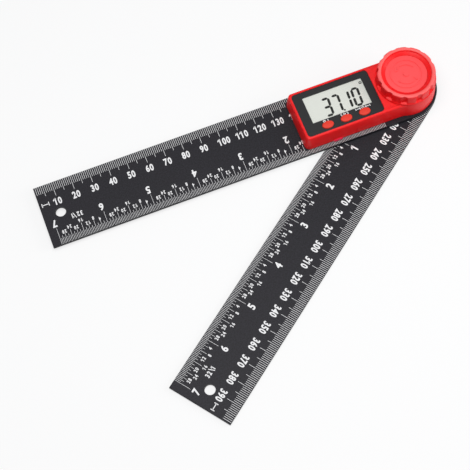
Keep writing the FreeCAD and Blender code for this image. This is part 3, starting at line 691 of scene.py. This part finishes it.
def knob_profile():
    """Closed section (radius, height): boss, web, skirt, foot, side, crest, cone, cap seat."""
    inward, upward = quarter(8)
    side = knob_radius - foot_step
    shoulder = knob_top - crest_round
    outer = side - side_taper
    inner = outer - crest_width
    skirt = knob_radius - skirt_wall
    disc = cap_high[0] + disc_fit
    bore = insert_high[0]
    web = cap_low[2] - web_thickness
    foot_top = knob_foot + foot_height
    under = [
        (bore, insert_low[2]),
        (boss_outer, insert_low[2]),
        (boss_outer, web),
        (skirt, web),
        (skirt, knob_foot),
        (knob_radius - foot_chamfer, knob_foot),
        (knob_radius, knob_foot + foot_chamfer),
        (knob_radius, foot_top - foot_bevel_height),
        (knob_radius - foot_bevel_width, foot_top),
    ]
    share = np.linspace(0, 1, side_rows)
    wall_line = [side - side_taper * share, flute_floor + (shoulder - flute_floor) * share]
    crest_level = shoulder + crest_round * upward
    crest_out = [outer - crest_round * inward[1:], crest_level[1:]]
    crest_in = [inner + crest_round * inward[::-1], crest_level[::-1]]
    lines = [np.column_stack(line) for line in (wall_line, crest_out, crest_in)]
    cap_seat = [
        (disc + seat_bevel_width, cap_high[2] + seat_bevel_half),
        (disc, cap_high[2] - seat_bevel_half),
        (disc, cap_low[2]),
        (bore, cap_low[2]),
    ]
    return np.concatenate([under, *lines, cap_seat])


print("knob profile:", len(knob_profile()), "points")

# %% [markdown]
# A flute is what an upright rod of radius r would leave. The rod's axis stands at a distance d
# from the knob's, just outside its side. At an angle a from the flute a ray from the knob's axis
# meets the rod at d cos a - sqrt(r^2 - (d sin a)^2), and that is the flute's limit. The knob's
# radius at a height and an angle is the profile's or this limit, whichever is less. The flutes
# stand on the foot and run out over the crest.

# %% Knob flutes and surface


def flute_limit(angle):
    """The radius at which a ray from the knob's axis meets the nearest flute, by the formula."""
    pitch = 2 * np.pi / flute_count
    away = (angle - flute_phase + pitch / 2) % pitch - pitch / 2
    axis = knob_radius - foot_step - flute_depth + flute_radius
    across = axis * np.sin(away)
    meets = np.abs(across) < flute_radius
    reach = np.sqrt(np.where(meets, flute_radius**2 - across**2, 0))
    return np.where(meets, axis * np.cos(away) - reach, np.inf)


def knob_rings():
    """Radius at (height, angle): the profile's, or the flute's limit where that is less."""
    section = knob_profile()
    angle = full_turn(knob_columns)
    turned = section[:, :1]
    height = section[:, 1:]
    outside = turned > knob_radius - foot_step - side_taper - crest_width
    rounding = 1e-6
    fluted = outside & (height >= flute_floor - rounding)
    radius = np.where(fluted, np.minimum(turned, flute_limit(angle)), turned)
    return round_points(radius, radius, angle, height)


knob_skin = new_piece("knob_skin", *lofted(knob_rings(), closed_over=True))
finish_piece(knob_skin, knob_red, "knob")
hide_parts("lock_knob")

# %% [markdown]
# The knob's sunk disc is a cap pressed into its seat, and it carries a faint raised mark: two
# curved arrows and a dot in a ring say that the knob turns. The mark is 0.35 mm high, enough to
# catch a soft edge.

# %% Knob disc and its turning mark
disc_radius = cap_high[0]
disc_top = cap_high[2]
disc_edge = 0.15
disc_columns = 144
mark_height = 0.35
mark_root = 0.05
mark_ring = (7.9, 8.3)
mark_ring_steps = 120
arrow_radius = 5.6
arrow_half_width = 0.35
arrow_starts = (math.radians(25), math.radians(205))
arrow_sweep = math.radians(105)
arrow_steps = 40
head_reach = 0.28
head_length = 1.7
head_half_width = 1.15
mark_dot_radius = 1.5
mark_dot_count = 64


def disc_rings():
    """A turned disc: its side, then an edge that is a quarter circle, at every angle."""
    inward, upward = quarter(4)
    radius = np.concatenate([[disc_radius], disc_radius - disc_edge * inward])[:, None]
    level = np.concatenate([[cap_low[2]], disc_top - disc_edge + disc_edge * upward])
    return round_points(radius, radius, full_turn(disc_columns), level[:, None])


def band(radius_in, radius_out, start, stop, steps, low, high):
    """A flat curved bar: corners at two radii and two levels, swept from start to stop."""
    angle = np.linspace(start, stop, steps + 1)[:, None]
    radius = np.array([radius_in, radius_out, radius_out, radius_in])
    level = np.array([low, low, high, high])
    return capped(round_points(radius, radius, angle, level))


def arrow_head(tip_angle, low, high):
    """A triangle: its tip on the arrow's circle, its back corners a head's length behind."""
    back = tip_angle - head_length / arrow_radius
    radius = arrow_radius + head_half_width * np.array([0, 1, -1])
    angle = np.array([tip_angle, back, back])
    return prism(round_points(radius, radius, angle, 0)[:, :2], low, high)


def turning_mark():
    """A ring, two arrows bent along a circle inside it, and a dot in the middle."""
    low = disc_top - mark_root
    high = disc_top + mark_height
    inner = arrow_radius - arrow_half_width
    outer = arrow_radius + arrow_half_width
    solids = [band(*mark_ring, 0, 2 * np.pi, mark_ring_steps, low, high)]
    for start in arrow_starts:
        stop = start + arrow_sweep
        solids.append(band(inner, outer, start, stop, arrow_steps, low, high))
        solids.append(arrow_head(stop + head_reach, low, high))
    solids.append(prism(circle(mark_dot_radius, mark_dot_count), low, high))
    return join_solids(solids)


knob_disc = new_piece("knob_disc", *capped(disc_rings()))
finish_piece(knob_disc, matt_red_painted_sheen, "knob")
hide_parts("knob_cap")
knob_mark = new_piece("knob_turning_mark", *turning_mark())
finish_piece(knob_mark, matt_red_painted_sheen, "knob")

# %% [markdown]
# ## Buttons
# The three buttons are soft caps. Each is a stack of ellipses: a round stem, a flange that the
# deck holds back, the straight side and a crown, whose edge follows a quarter circle before it
# runs into a shallow dome. Only the half axes and the height change from row to row.

# %% Button surfaces
stem_radius = 1.2
flange_width = 0.5
flange_thickness = 0.8
button_edge = 0.55
button_dome = 0.12
dome_shares = (0.75, 0.5, 0.25, 0.05)


def button_rings(x, low, high):
    """Rows of ellipses (x + a cos t, y + b sin t) from the stem's foot to the dome's top.

    The edge takes 1 - cos off both half axes while it rises by sin; on the dome both half axes
    shrink to a share, and the height falls short of the top by the share's square.
    """
    inward, upward = quarter(6)
    long, short = button_half_length, button_half_width
    flange_low = deck_under - flange_thickness
    shoulder = high - button_edge - button_dome
    rows = [
        (stem_radius, stem_radius, low),
        (stem_radius, stem_radius, flange_low),
        (long + flange_width, short + flange_width, flange_low),
        (long + flange_width, short + flange_width, deck_under),
        (long, short, deck_under),
    ]
    for share_in, share_up in zip(inward, upward):
        inset = button_edge * share_in
        rows.append((long - inset, short - inset, shoulder + button_edge * share_up))
    for share in dome_shares:
        level = high - button_dome * share**2
        rows.append(((long - button_edge) * share, (short - button_edge) * share, level))
    half_long, half_short, level = np.hsplit(np.array(rows), 3)
    rings = round_points(half_long, half_short, full_turn(oval_count), level)
    return rings + np.array([x, button_centre_y, 0.0])


button_names = ("power_button", "hold_button", "zero_button")
for button_name, button_x in zip(button_names, button_centres_x):
    button_low, button_high = box_mm(button_name)
    rings = button_rings(button_x, button_low[2], button_high[2])
    button_cap = new_piece(button_name + "_cap", *capped(rings))
    finish_piece(button_cap, button_red, button_name)
    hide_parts(button_name)

# %% [markdown]
# ## Printed scales
# The white print is a layer of ink, 0.03 mm thick here. Each mark is a thin box, so that it is
# a closed solid. One function places them all: s runs from the pivot along a rule, c runs
# across it towards the millimetre edge, and each rule has its own pair of directions.

# %% Rule directions and ticks
ink = 0.03
ink_root = 0.01
inch = 25.4
inch_parts = 32
inch_zero = 17.55
whole_inches = 7
first_millimetre = 3
millimetre_reach = {1: 12.8, 5: 11.0, 10: 9.5}
inch_reach = {1: 14.2, 2: 13.0, 4: 12.3, 8: 11.0, 16: 9.7, 32: 8.2}
millimetre_line = 0.18
inch_line = 0.15
edge_margin = 0.05
shortest_tick = 0.3
along_upper = np.array([-1.0, 0.0])
across_upper = np.array([0.0, 1.0])
along_lower = np.array([-math.cos(opening_angle), -math.sin(opening_angle)])
across_lower = np.array([math.sin(opening_angle), -math.cos(opening_angle)])


def rule_boxes(centre, inner, outer, width):
    """Boxes over s in centre +- width / 2 and c from inner to outer, as (s, c, layer)."""
    low, high = centre - width / 2, centre + width / 2
    s = np.stack([low, high, high, low], axis=-1)
    c = np.stack([inner, inner, outer, outer], axis=-1)
    corners = 8
    points = np.empty((len(centre), corners, 3))
    points[..., 0] = np.tile(s, 2)
    points[..., 1] = np.tile(c, 2)
    points[..., 2] = np.repeat([-ink_root, ink], 4)
    sides = [(0, 1, 2, 3), (4, 5, 6, 7), (0, 1, 5, 4), (1, 2, 6, 5), (2, 3, 7, 6), (3, 0, 4, 7)]
    faces = np.array(sides) + corners * np.arange(len(centre))[:, None, None]
    return points.reshape(-1, 3), faces.reshape(-1, 4)


def on_rule(points, along, across, top):
    """World place of (s, c, layer): s along + c across + the rule's top."""
    plan = points[:, :1] * along + points[:, 1:2] * across
    return np.column_stack([plan, points[:, 2] + top])


def tick_reach(count, reaches):
    """Each tick's inner end: the one of the last step that divides its number."""
    inner = np.empty(len(count))
    for step, reach in reaches.items():
        inner[count % step == 0] = reach
    return inner


def keep_clear(s, inner, covered_to, cover, hub):
    """Start a tick outside what covers it: the housing's side, or the hub or slip disc.

    A round edge about the pivot lies at c = sqrt(radius^2 - s^2).
    """
    inner = np.where(s < covered_to, np.maximum(inner, cover), inner)
    hub_edge = np.sqrt(np.maximum(hub**2 - s**2, 0))
    return np.maximum(inner, hub_edge)


def tick_solids(covered_to, cover, hub):
    """A tick a millimetre along one edge, and thirty-two an inch along the other."""
    edge = arm_half - edge_margin
    millimetres = np.arange(first_millimetre, int(arm_length))
    parts = np.arange(whole_inches * inch_parts + 1)
    parts_s = inch_zero + parts * inch / inch_parts
    millimetre_inner = tick_reach(millimetres, millimetre_reach)
    inch_inner = tick_reach(parts, inch_reach)
    solids = []
    for s, inner, side, width in (
        (millimetres.astype(float), millimetre_inner, 1, millimetre_line),
        (parts_s, inch_inner, -1, inch_line),
    ):
        start = keep_clear(s, inner, covered_to, cover, hub)
        seen = start < edge - shortest_tick
        stop = np.full(seen.sum(), edge)
        solids.append(rule_boxes(s[seen], side * start[seen], side * stop, width))
    return solids


# %% [markdown]
# The numerals come from Blender's own plain font. Each digit is made once as an extruded
# text, turned to a mesh, and scaled so that its figure is one unit high with its left foot at
# zero. The font's figure one is a bare bar, so a stem with a flag takes its place. Every numeral
# on the rules is then a copy of those ten arrays.

# %% Digits as arrays
boldness = 0.035
one_width = 0.82


def digit_arrays():
    """Ten digits as (points, triangles, width), each one unit high."""
    arrays = {}
    for figure in "0123456789":
        text = bpy.data.curves.new("digit", "FONT")
        text.body = figure
        text.extrude = 0.5
        text.offset = boldness
        text.resolution_u = 3
        holder = bpy.data.objects.new("digit", text)
        bpy.context.scene.collection.objects.link(holder)
        depsgraph = bpy.context.evaluated_depsgraph_get()
        mesh = bpy.data.meshes.new_from_object(holder.evaluated_get(depsgraph))
        mesh.calc_loop_triangles()
        points = np.empty(3 * len(mesh.vertices))
        mesh.vertices.foreach_get("co", points)
        points = points.reshape(-1, 3)
        triangles = np.empty(3 * len(mesh.loop_triangles), dtype=int)
        mesh.loop_triangles.foreach_get("vertices", triangles)
        low = points.min(axis=0)
        size = points.max(axis=0) - low
        points = (points - low) / size[1]
        points[:, 2] = np.where(points[:, 2] > points[:, 2].mean(), ink, -ink_root)
        arrays[figure] = (points, triangles.reshape(-1, 3), size[0] / size[1])
        bpy.data.objects.remove(holder)
        bpy.data.curves.remove(text)
        bpy.data.meshes.remove(mesh)
    return arrays


def flagged_one():
    """A figure one, one unit high: an upright stem, and a flag that falls from its top."""
    stem = rectangle(0.3, 0.52, 0.0, 1.0)
    flag = np.array([(0.0, 0.6), (0.4, 0.8), (0.4, 1.0), (0.3, 1.0), (0.0, 0.77)])
    points, squares = join_solids([prism(stem, -ink_root, ink), prism(flag, -ink_root, ink)])
    squares = np.array(squares)
    triangles = np.concatenate([squares[:, :3], squares[:, [0, 2, 3]]])
    return points, triangles, one_width


digits = digit_arrays()
digits["1"] = flagged_one()
print("digit widths:", {figure: round(parts[2], 2) for figure, parts in digits.items()})


def numeral(text, centre_s, centre_c, read, up, figures):
    """A number as (points, triangles) in (s, c, layer), its middle at (centre_s, centre_c).

    read and up are +1 or -1: the direction of reading along s, and of the figures' tops along c.
    figures holds their height, their pitch and how narrow they are.
    """
    height, pitch, narrow = figures
    solids = []
    for place, figure in enumerate(text):
        points, triangles, width = digits[figure]
        middle = (place - (len(text) - 1) / 2) * pitch
        local = (points[:, 0] - width / 2) * height * narrow + middle
        rise = (points[:, 1] - 0.5) * height
        placed = np.column_stack([centre_s + read * local, centre_c + up * rise, points[:, 2]])
        solids.append((placed, triangles))
    return join_solids(solids)


# %% [markdown]
# Near the far end a dimension mark stands for the millimetres, on their side of the rule, and a
# fraction stands for the divisions of the inch, on the other.

# %% Unit marks
dimension_ends = (194.8, 198.4)
dimension_row = 6.4
dimension_half = 1.1
dimension_line = 0.45
fraction_middle = 183.1
fraction_row = -4.6
fraction_figures = (2.7, 1.75, 0.75)
fraction_above, fraction_below = 2.6, 1.5
slash_start, slash_stop = 1.9, 0.7
slash_rise = 1.6
slash_line = 0.4


def bar_between(start, stop, width):
    """A thin box of ink along the line from start to stop, both in the plan."""
    start = np.array(start, dtype=float)
    stop = np.array(stop, dtype=float)
    along = (stop - start) / np.linalg.norm(stop - start)
    side = np.array([-along[1], along[0]]) * width / 2
    outline = np.array([start - side, stop - side, stop + side, start + side])
    return prism(outline, -ink_root, ink)


def unit_marks(read, up):
    """A dimension mark on the millimetre side and the fraction 1/32 on the inch side."""
    near, far = dimension_ends
    low, high = dimension_row - dimension_half, dimension_row + dimension_half
    solids = [bar_between((far, dimension_row), (near, dimension_row), dimension_line)]
    solids += [bar_between((end, low), (end, high), dimension_line) for end in (far, near)]
    above = fraction_middle - read * fraction_above
    below = fraction_middle + read * fraction_below
    slash_from = (fraction_middle - read * slash_start, fraction_row + slash_rise)
    slash_to = (fraction_middle - read * slash_stop, fraction_row - slash_rise)
    solids.append(numeral("1", above, fraction_row, -read, -up, fraction_figures))
    solids.append(bar_between(slash_from, slash_to, slash_line))
    solids.append(numeral("32", below, fraction_row, -read, -up, fraction_figures))
    return solids


# %% [markdown]
# Every tenth millimetre has its number under its tick, and whole inches with their
# thirty-seconds sit on the other side, upside down to the first. A row of thirty-seconds is set
# by how long its ticks are: the shorter the tick, the nearer the edge.

# %% Rows of numbers
millimetre_row = 6.2
millimetre_figures = (4.0, 2.2, 0.74)
inch_row = -5.3
inch_figures = (4.2, 2.6, 0.86)
part_rows = {4: -11.25, 8: -9.6, 12: -11.25, 16: -8.3, 20: -11.25, 24: -9.6, 28: -11.25}
part_figures = (2.0, 1.3, 0.76)
part_slip = -0.1


def millimetre_numerals(places, read, up):
    """The numbers of (number, s) pairs, in a row under the long ticks."""
    style = (read, up, millimetre_figures)
    return [numeral(str(value), s, millimetre_row, *style) for value, s in places]


def inch_numerals(first, first_part, slip, inward, read, up):
    """Whole inches from the first, and their thirty-seconds from first_part before it.

    slip sets the whole numbers off along the rule, and inward sets all towards its middle.
    """
    solids = []
    for whole in range(first, whole_inches + 1):
        s = inch_zero + whole * inch + slip
        solids.append(numeral(str(whole), s, inch_row + inward, -read, -up, inch_figures))
    for whole in range(first - 1, whole_inches):
        for part, row in part_rows.items():
            if whole == first - 1 and part < first_part:
                continue
            s = inch_zero + (whole + part / inch_parts) * inch + part_slip
            solids.append(numeral(str(part), s, row + inward, -read, -up, part_figures))
    return solids


# %% [markdown]
# Each rule's print is one piece, which rides with its rule. The upper rule counts from its far
# end up to 200 at the pivot, and its ticks stay clear of the housing and the hub that stand on
# it. The lower rule carries on from 200, and its first ticks stay clear of the slip disc.

# %% Both rules' print


def rule_print(name, solids, along, across, top, body):
    """One rule's print as a single piece, laid on the rule's face."""
    points, faces = join_solids(solids)
    piece = new_piece(name, on_rule(points, along, across, top), faces, fine_merge_distance)
    finish_piece(piece, print_white, body)


three_figure_slip = 1.25
housing_clear_s, housing_clear_c, hub_clear = 61.5, 15.05, 16.6
upper_numbers = [(value, arm_length - value) for value in range(10, 100, 10)]
upper_numbers += [(value, arm_length - value - three_figure_slip) for value in range(100, 150, 10)]
upper_solids = tick_solids(housing_clear_s, housing_clear_c, hub_clear)
upper_solids += millimetre_numerals(upper_numbers, -1, 1)
upper_solids += inch_numerals(first=2, first_part=24, slip=0.3, inward=0.0, read=-1, up=1)
upper_solids += unit_marks(-1, 1)
rule_print("upper_rule_print", upper_solids, along_upper, across_upper, upper_top, "upper")

slip_disc_clear = 16.2
lower_numbers = [(value, value - arm_length) for value in range(220, 400, 10)]
lower_solids = tick_solids(0.0, 0.0, slip_disc_clear)
lower_solids += millimetre_numerals(lower_numbers, 1, 1)
lower_solids += inch_numerals(first=1, first_part=4, slip=-0.45, inward=0.3, read=1, up=1)
lower_solids += unit_marks(1, 1)
rule_print("lower_rule_print", lower_solids, along_lower, across_lower, lower_top, "lower")

# %% [markdown]
# ## Display
# A seven-segment digit is seven bars, with pointed ends so that neighbours meet at a mitre with
# a hair of space. The digits lean a little to the right, which is a shear: x grows with height.

# %% Seven-segment digits
segment_width = 1.3
digit_height = 11.0
digit_lean = 0.065
digit_base = -5.2
segment_ink = 0.03
segment_gap = 0.08
shown_digits = (("3", -46.2, 4.8), ("7", -40.7, 4.6), ("1", -35.0, 4.35), ("0", -29.7, 4.6))
lit_segments = {"3": "abcdg", "7": "abc", "1": "bc", "0": "abcdef"}
point_place = (-35.75, -4.5)
point_radius = 0.5
degree_place = (-22.35, 7.2)
degree_ring = (0.35, 0.8)
ring_count = 32


def pointed_bar(start, stop, place, upright):
    """A hexagon: start and stop are its points, half a width further in it is full.

    It runs along x with its middle at y = place, or when upright along y at x = place.
    """
    half = segment_width / 2
    along = np.array([start, start + half, stop - half, stop, stop - half, start + half])
    across = place + half * np.array([0, -1, -1, 0, 1, 1])
    return np.column_stack([across, along] if upright else [along, across])


def segment_outlines(width):
    """The seven segments of an upright digit, named a to g, as hexagons (x, y)."""
    left = segment_width / 2
    right = width - left
    low, middle, high = left, digit_height / 2, digit_height - left
    bars = {
        "a": (left, right, high, False),
        "g": (left, right, middle, False),
        "d": (left, right, low, False),
        "b": (middle, high, right, True),
        "c": (low, middle, right, True),
        "f": (middle, high, left, True),
        "e": (low, middle, left, True),
    }
    return {
        name: pointed_bar(start + segment_gap, stop - segment_gap, place, upright)
        for name, (start, stop, place, upright) in bars.items()
    }


print("segments of a digit:", list(segment_outlines(segment_width)))

# %% [markdown]
# The display shows 37.10 and the degree sign. The segments lie on the glass as a layer as thin as
# print: a real one has them just under the front plate, which looks the same from above.

# %% Lit segments


def display_solids():
    """The lit digits, each sheared by x + lean y, the point and the degree ring."""
    low = glass_high[2] - ink_root
    high = glass_high[2] + segment_ink
    solids = []
    for figure, x, width in shown_digits:
        outlines = segment_outlines(width)
        for name in lit_segments[figure]:
            outline = outlines[name]
            outline[:, 0] += x + digit_lean * outline[:, 1]
            outline[:, 1] += digit_base
            solids.append(prism(outline, low, high))
    solids.append(prism(circle(point_radius, ring_count, *point_place), low, high))
    points, faces = band(*degree_ring, 0, 2 * np.pi, ring_count, low, high)
    solids.append((points + np.array([*degree_place, 0.0]), faces))
    return join_solids(solids)


display_digits = new_piece("display_digits", *display_solids())
finish_piece(display_digits, lcd_segment, "upper")

# %% [markdown]
# Each button has a plain sign over it on the panel: a ring broken by a bar, with a stroke beside
# it, for power, two bars in brackets for hold, and two arrows that meet at a ring for zero.

# %% Button signs on the panel
sign_y = -6.98
sign_half = 0.55
sign_line = 0.34
power_offset = 1.0
power_bar = 0.75
power_gap = (math.radians(55), math.radians(125))
hold_offset = 0.35
hold_line = 0.42
bracket_offset = 1.9
bracket_foot = 0.6
arrow_tip = 1.2
arrow_tail = 3.4
arrow_stop = 3.9
barb_length = 0.55
barb_rise = 0.5
sign_ring_steps = 36


def sign_bar(x, low, high, x_stop=None, width=sign_line):
    """A bar from (x, low) to (x_stop, high), the heights counted from the signs' middle line."""
    x_stop = x if x_stop is None else x_stop
    return bar_between((x, sign_y + low), (x_stop, sign_y + high), width)


def sign_ring(x, start, stop):
    """A ring, or a part of one, round (x, sign_y)."""
    inner, outer = sign_half - sign_line / 2, sign_half + sign_line / 2
    points, faces = band(inner, outer, start, stop, sign_ring_steps, -ink_root, ink)
    return points + np.array([x, sign_y, 0.0]), faces


def sign_solids():
    """The three signs, drawn at height zero and lifted to the panel's face."""
    power_x, hold_x, zero_x = button_centres_x
    ring_x = power_x - power_offset
    gap_start, gap_stop = power_gap
    solids = [
        sign_ring(ring_x, gap_stop, gap_start + 2 * np.pi),
        sign_bar(ring_x, 0, power_bar),
        sign_bar(power_x + power_offset, -sign_half, sign_half),
        sign_ring(zero_x, 0, 2 * np.pi),
    ]
    for side in (-1, 1):
        hold_bar_x = hold_x + side * hold_offset
        bracket_x = hold_x + side * bracket_offset
        foot_x = bracket_x - side * bracket_foot
        tip_x = zero_x + side * arrow_tip
        tail_x = zero_x + side * arrow_tail
        stop_x = zero_x + side * arrow_stop
        barb_x = tip_x + side * barb_length
        solids.append(sign_bar(hold_bar_x, -sign_half, sign_half, width=hold_line))
        solids.append(sign_bar(bracket_x, -sign_half, sign_half))
        solids += [sign_bar(bracket_x, lift, lift, foot_x) for lift in (-sign_half, sign_half)]
        solids.append(sign_bar(tip_x, 0, 0, tail_x))
        solids += [sign_bar(tip_x, 0, lift, barb_x) for lift in (-barb_rise, barb_rise)]
        solids.append(sign_bar(stop_x, -sign_half, sign_half))
    points, faces = join_solids(solids)
    return points + np.array([0.0, 0.0, panel_high[2]]), faces


panel_signs = new_piece("panel_signs", *sign_solids())
finish_piece(panel_signs, print_white, "upper")

# %% [markdown]
# ## CAD pieces that stay
# Every node that is still shown takes the material of its slot in the record.

# %% Finish the CAD nodes
own_finish = {"battery_tray": tray_red}
slot_of_node = {name: node.data.materials[0].name.split(".")[0] for name, node in nodes.items()}
print("slots:", slot_of_node)
for name, node in nodes.items():
    node.data.materials.clear()
    node.data.materials.append(own_finish.get(name, slot_finish[slot_of_node[name]]))

# %% [markdown]
# ## Studio
# A photographer's white table: the floor looks pure white to the camera, and to anything that
# mirrors it, but still darkens softly under the object. Near the object about three quarters of
# what the camera sees is a fixed white and the rest is the lit floor, which keeps the shadow.
# Further out the fixed white takes over, so that the table's far edge melts into the backdrop.
# The table has one side only: from underneath it is clear, and the object's underside shows. It
# lies a hair below the rule, because two faces in one plane would flicker.

# %% Floor
floor_half = 1.5
floor_level = -0.05 * MM
fade_from, fade_to = 0.4, 1.2
fixed_share_near, fixed_share_far = 0.72, 1.0


def seen_or_mirrored(tree):
    """1 for what the camera sees straight on, in a mirror or through glass, 0 for lit surfaces."""
    path = add_node(tree, "ShaderNodeLightPath")
    rays = path.outputs["Is Camera Ray"]
    for other in ("Is Glossy Ray", "Is Transmission Ray"):
        both = {0: rays, 1: path.outputs[other]}
        rays = add_node(tree, "ShaderNodeMath", {"operation": "MAXIMUM"}, both).outputs[0]
    return rays


def mixed_shader(tree, share, first, second):
    """first where share is 0, second where it is 1. All three are outputs."""
    return add_node(tree, "ShaderNodeMixShader", links={0: share, 1: first, 2: second}).outputs[0]


def studio_floor():
    """A square table: fixed white mixed with a lit white by place and by the kind of ray."""
    material = bpy.data.materials.new("white_table")
    material.use_nodes = True
    tree = material.node_tree
    tree.nodes.clear()
    place = add_node(tree, "ShaderNodeTexCoord")
    from_middle = {0: place.outputs["Object"]}
    away = add_node(tree, "ShaderNodeVectorMath", {"operation": "LENGTH"}, from_middle)
    fade = {
        "From Min": fade_from,
        "From Max": fade_to,
        "To Min": fixed_share_near,
        "To Max": fixed_share_far,
    }
    fixed = add_node(tree, "ShaderNodeMapRange", fade, {"Value": away.outputs["Value"]})
    both = {0: seen_or_mirrored(tree), 1: fixed.outputs["Result"]}
    share = add_node(tree, "ShaderNodeMath", {"operation": "MULTIPLY"}, both)
    lit = add_node(tree, "ShaderNodeBsdfDiffuse", {"Color": linear("#F4F4F4")})
    white = add_node(tree, "ShaderNodeEmission", {"Color": linear("#FFFFFF"), "Strength": 1.0})
    mixed = mixed_shader(tree, share.outputs[0], lit.outputs[0], white.outputs[0])
    facing = add_node(tree, "ShaderNodeNewGeometry")
    clear = add_node(tree, "ShaderNodeBsdfTransparent")
    one_sided = mixed_shader(tree, facing.outputs["Backfacing"], mixed, clear.outputs[0])
    add_node(tree, "ShaderNodeOutputMaterial", links={"Surface": one_sided})
    corners = rectangle(-floor_half, floor_half, -floor_half, floor_half)
    mesh = bpy.data.meshes.new("studio_floor")
    mesh.from_pydata(at_level(corners, floor_level).tolist(), [], [(0, 1, 2, 3)])
    mesh.materials.append(material)
    floor = bpy.data.objects.new("studio_floor", mesh)
    bpy.context.scene.collection.objects.link(floor)


studio_floor()
print("table:", 2 * floor_half, "m wide")

# %% [markdown]
# The room round the table is white too where it is seen or mirrored, which gives the black sheet
# and the lens something bright to show. As a light it is dim, so that the lamps draw the shapes.

# %% World
room_light = 0.22


def studio_world():
    """A dim cool room for lit surfaces, and plain white where it is seen or mirrored."""
    world = bpy.data.worlds.new("studio")
    bpy.context.scene.world = world
    world.use_nodes = True
    tree = world.node_tree
    tree.nodes.clear()
    dim = {"Color": linear("#F6F8FF"), "Strength": room_light}
    room = add_node(tree, "ShaderNodeBackground", dim)
    white = add_node(tree, "ShaderNodeBackground", {"Color": linear("#FFFFFF"), "Strength": 1.0})
    seen = mixed_shader(tree, seen_or_mirrored(tree), room.outputs[0], white.outputs[0])
    add_node(tree, "ShaderNodeOutputWorld", links={"Surface": seen})


studio_world()
print("room light:", room_light)

# %% [markdown]
# The key lamp is a soft box overhead: the flat tops are lit in full, the walls fall into shade
# towards their feet, and the round edges show it as a bright line. A weaker one fills in from
# the right.

# %% Lamps
lamp_target = Vector((-90.0, -50.0, 0.0)) * MM
key_place = Vector((-140.0, -60.0, 690.0)) * MM
key_side = 450.0 * MM
key_watts = 3.65
fill_place = Vector((480.0, -240.0, 300.0)) * MM
fill_side = 400.0 * MM
fill_watts = 1.7


def soft_box(name, place, side, watts):
    """A square lamp at a place, turned so that its light falls on the target."""
    lamp = bpy.data.lights.new(name, "AREA")
    lamp.shape = "SQUARE"
    lamp.size = side
    lamp.energy = watts
    holder = bpy.data.objects.new(name, lamp)
    holder.location = place
    holder.rotation_euler = (lamp_target - place).to_track_quat("-Z", "Y").to_euler()
    bpy.context.scene.collection.objects.link(holder)
    print(name, watts, "W")


soft_box("key_soft_box", key_place, key_side, key_watts)
soft_box("fill_soft_box", fill_place, fill_side, fill_watts)

# %% [markdown]
# ## Camera
# The camera's place, aim and lens come from a pinhole fit to the rule's marks in the picture.
# The picture is square, so the lens is given on a 36 mm square sensor. The camera is turned by
# a small roll about its own axis.

# %% Camera
camera_place = Vector((-177.15, -273.84, 594.29)) * MM
camera_forward = Vector((0.10196, 0.35955, -0.92754)).normalized()
camera_roll = math.radians(-5.45)
lens_mm = 96.58
sensor_mm = 36.0
clip_near, clip_far = 0.01, 20.0
level_right = camera_forward.cross(Vector((0, 0, 1))).normalized()
level_up = level_right.cross(camera_forward)
camera_right = level_right * math.cos(camera_roll) + level_up * math.sin(camera_roll)
camera_up = camera_right.cross(camera_forward)
camera_data = bpy.data.cameras.new("camera")
camera_data.lens = lens_mm
camera_data.sensor_width = sensor_mm
camera_data.sensor_height = sensor_mm
camera_data.sensor_fit = "HORIZONTAL"
camera_data.clip_start = clip_near
camera_data.clip_end = clip_far
camera = bpy.data.objects.new("camera", camera_data)
camera_axes = Matrix((camera_right, camera_up, -camera_forward)).transposed()
camera.matrix_world = Matrix.Translation(camera_place) @ camera_axes.to_4x4()
bpy.context.scene.collection.objects.link(camera)
bpy.context.scene.camera = camera
bpy.context.scene.view_settings.view_transform = "Standard"
print("camera:", lens_mm, "mm lens,", round(camera_place.length, 3), "m from the pivot")
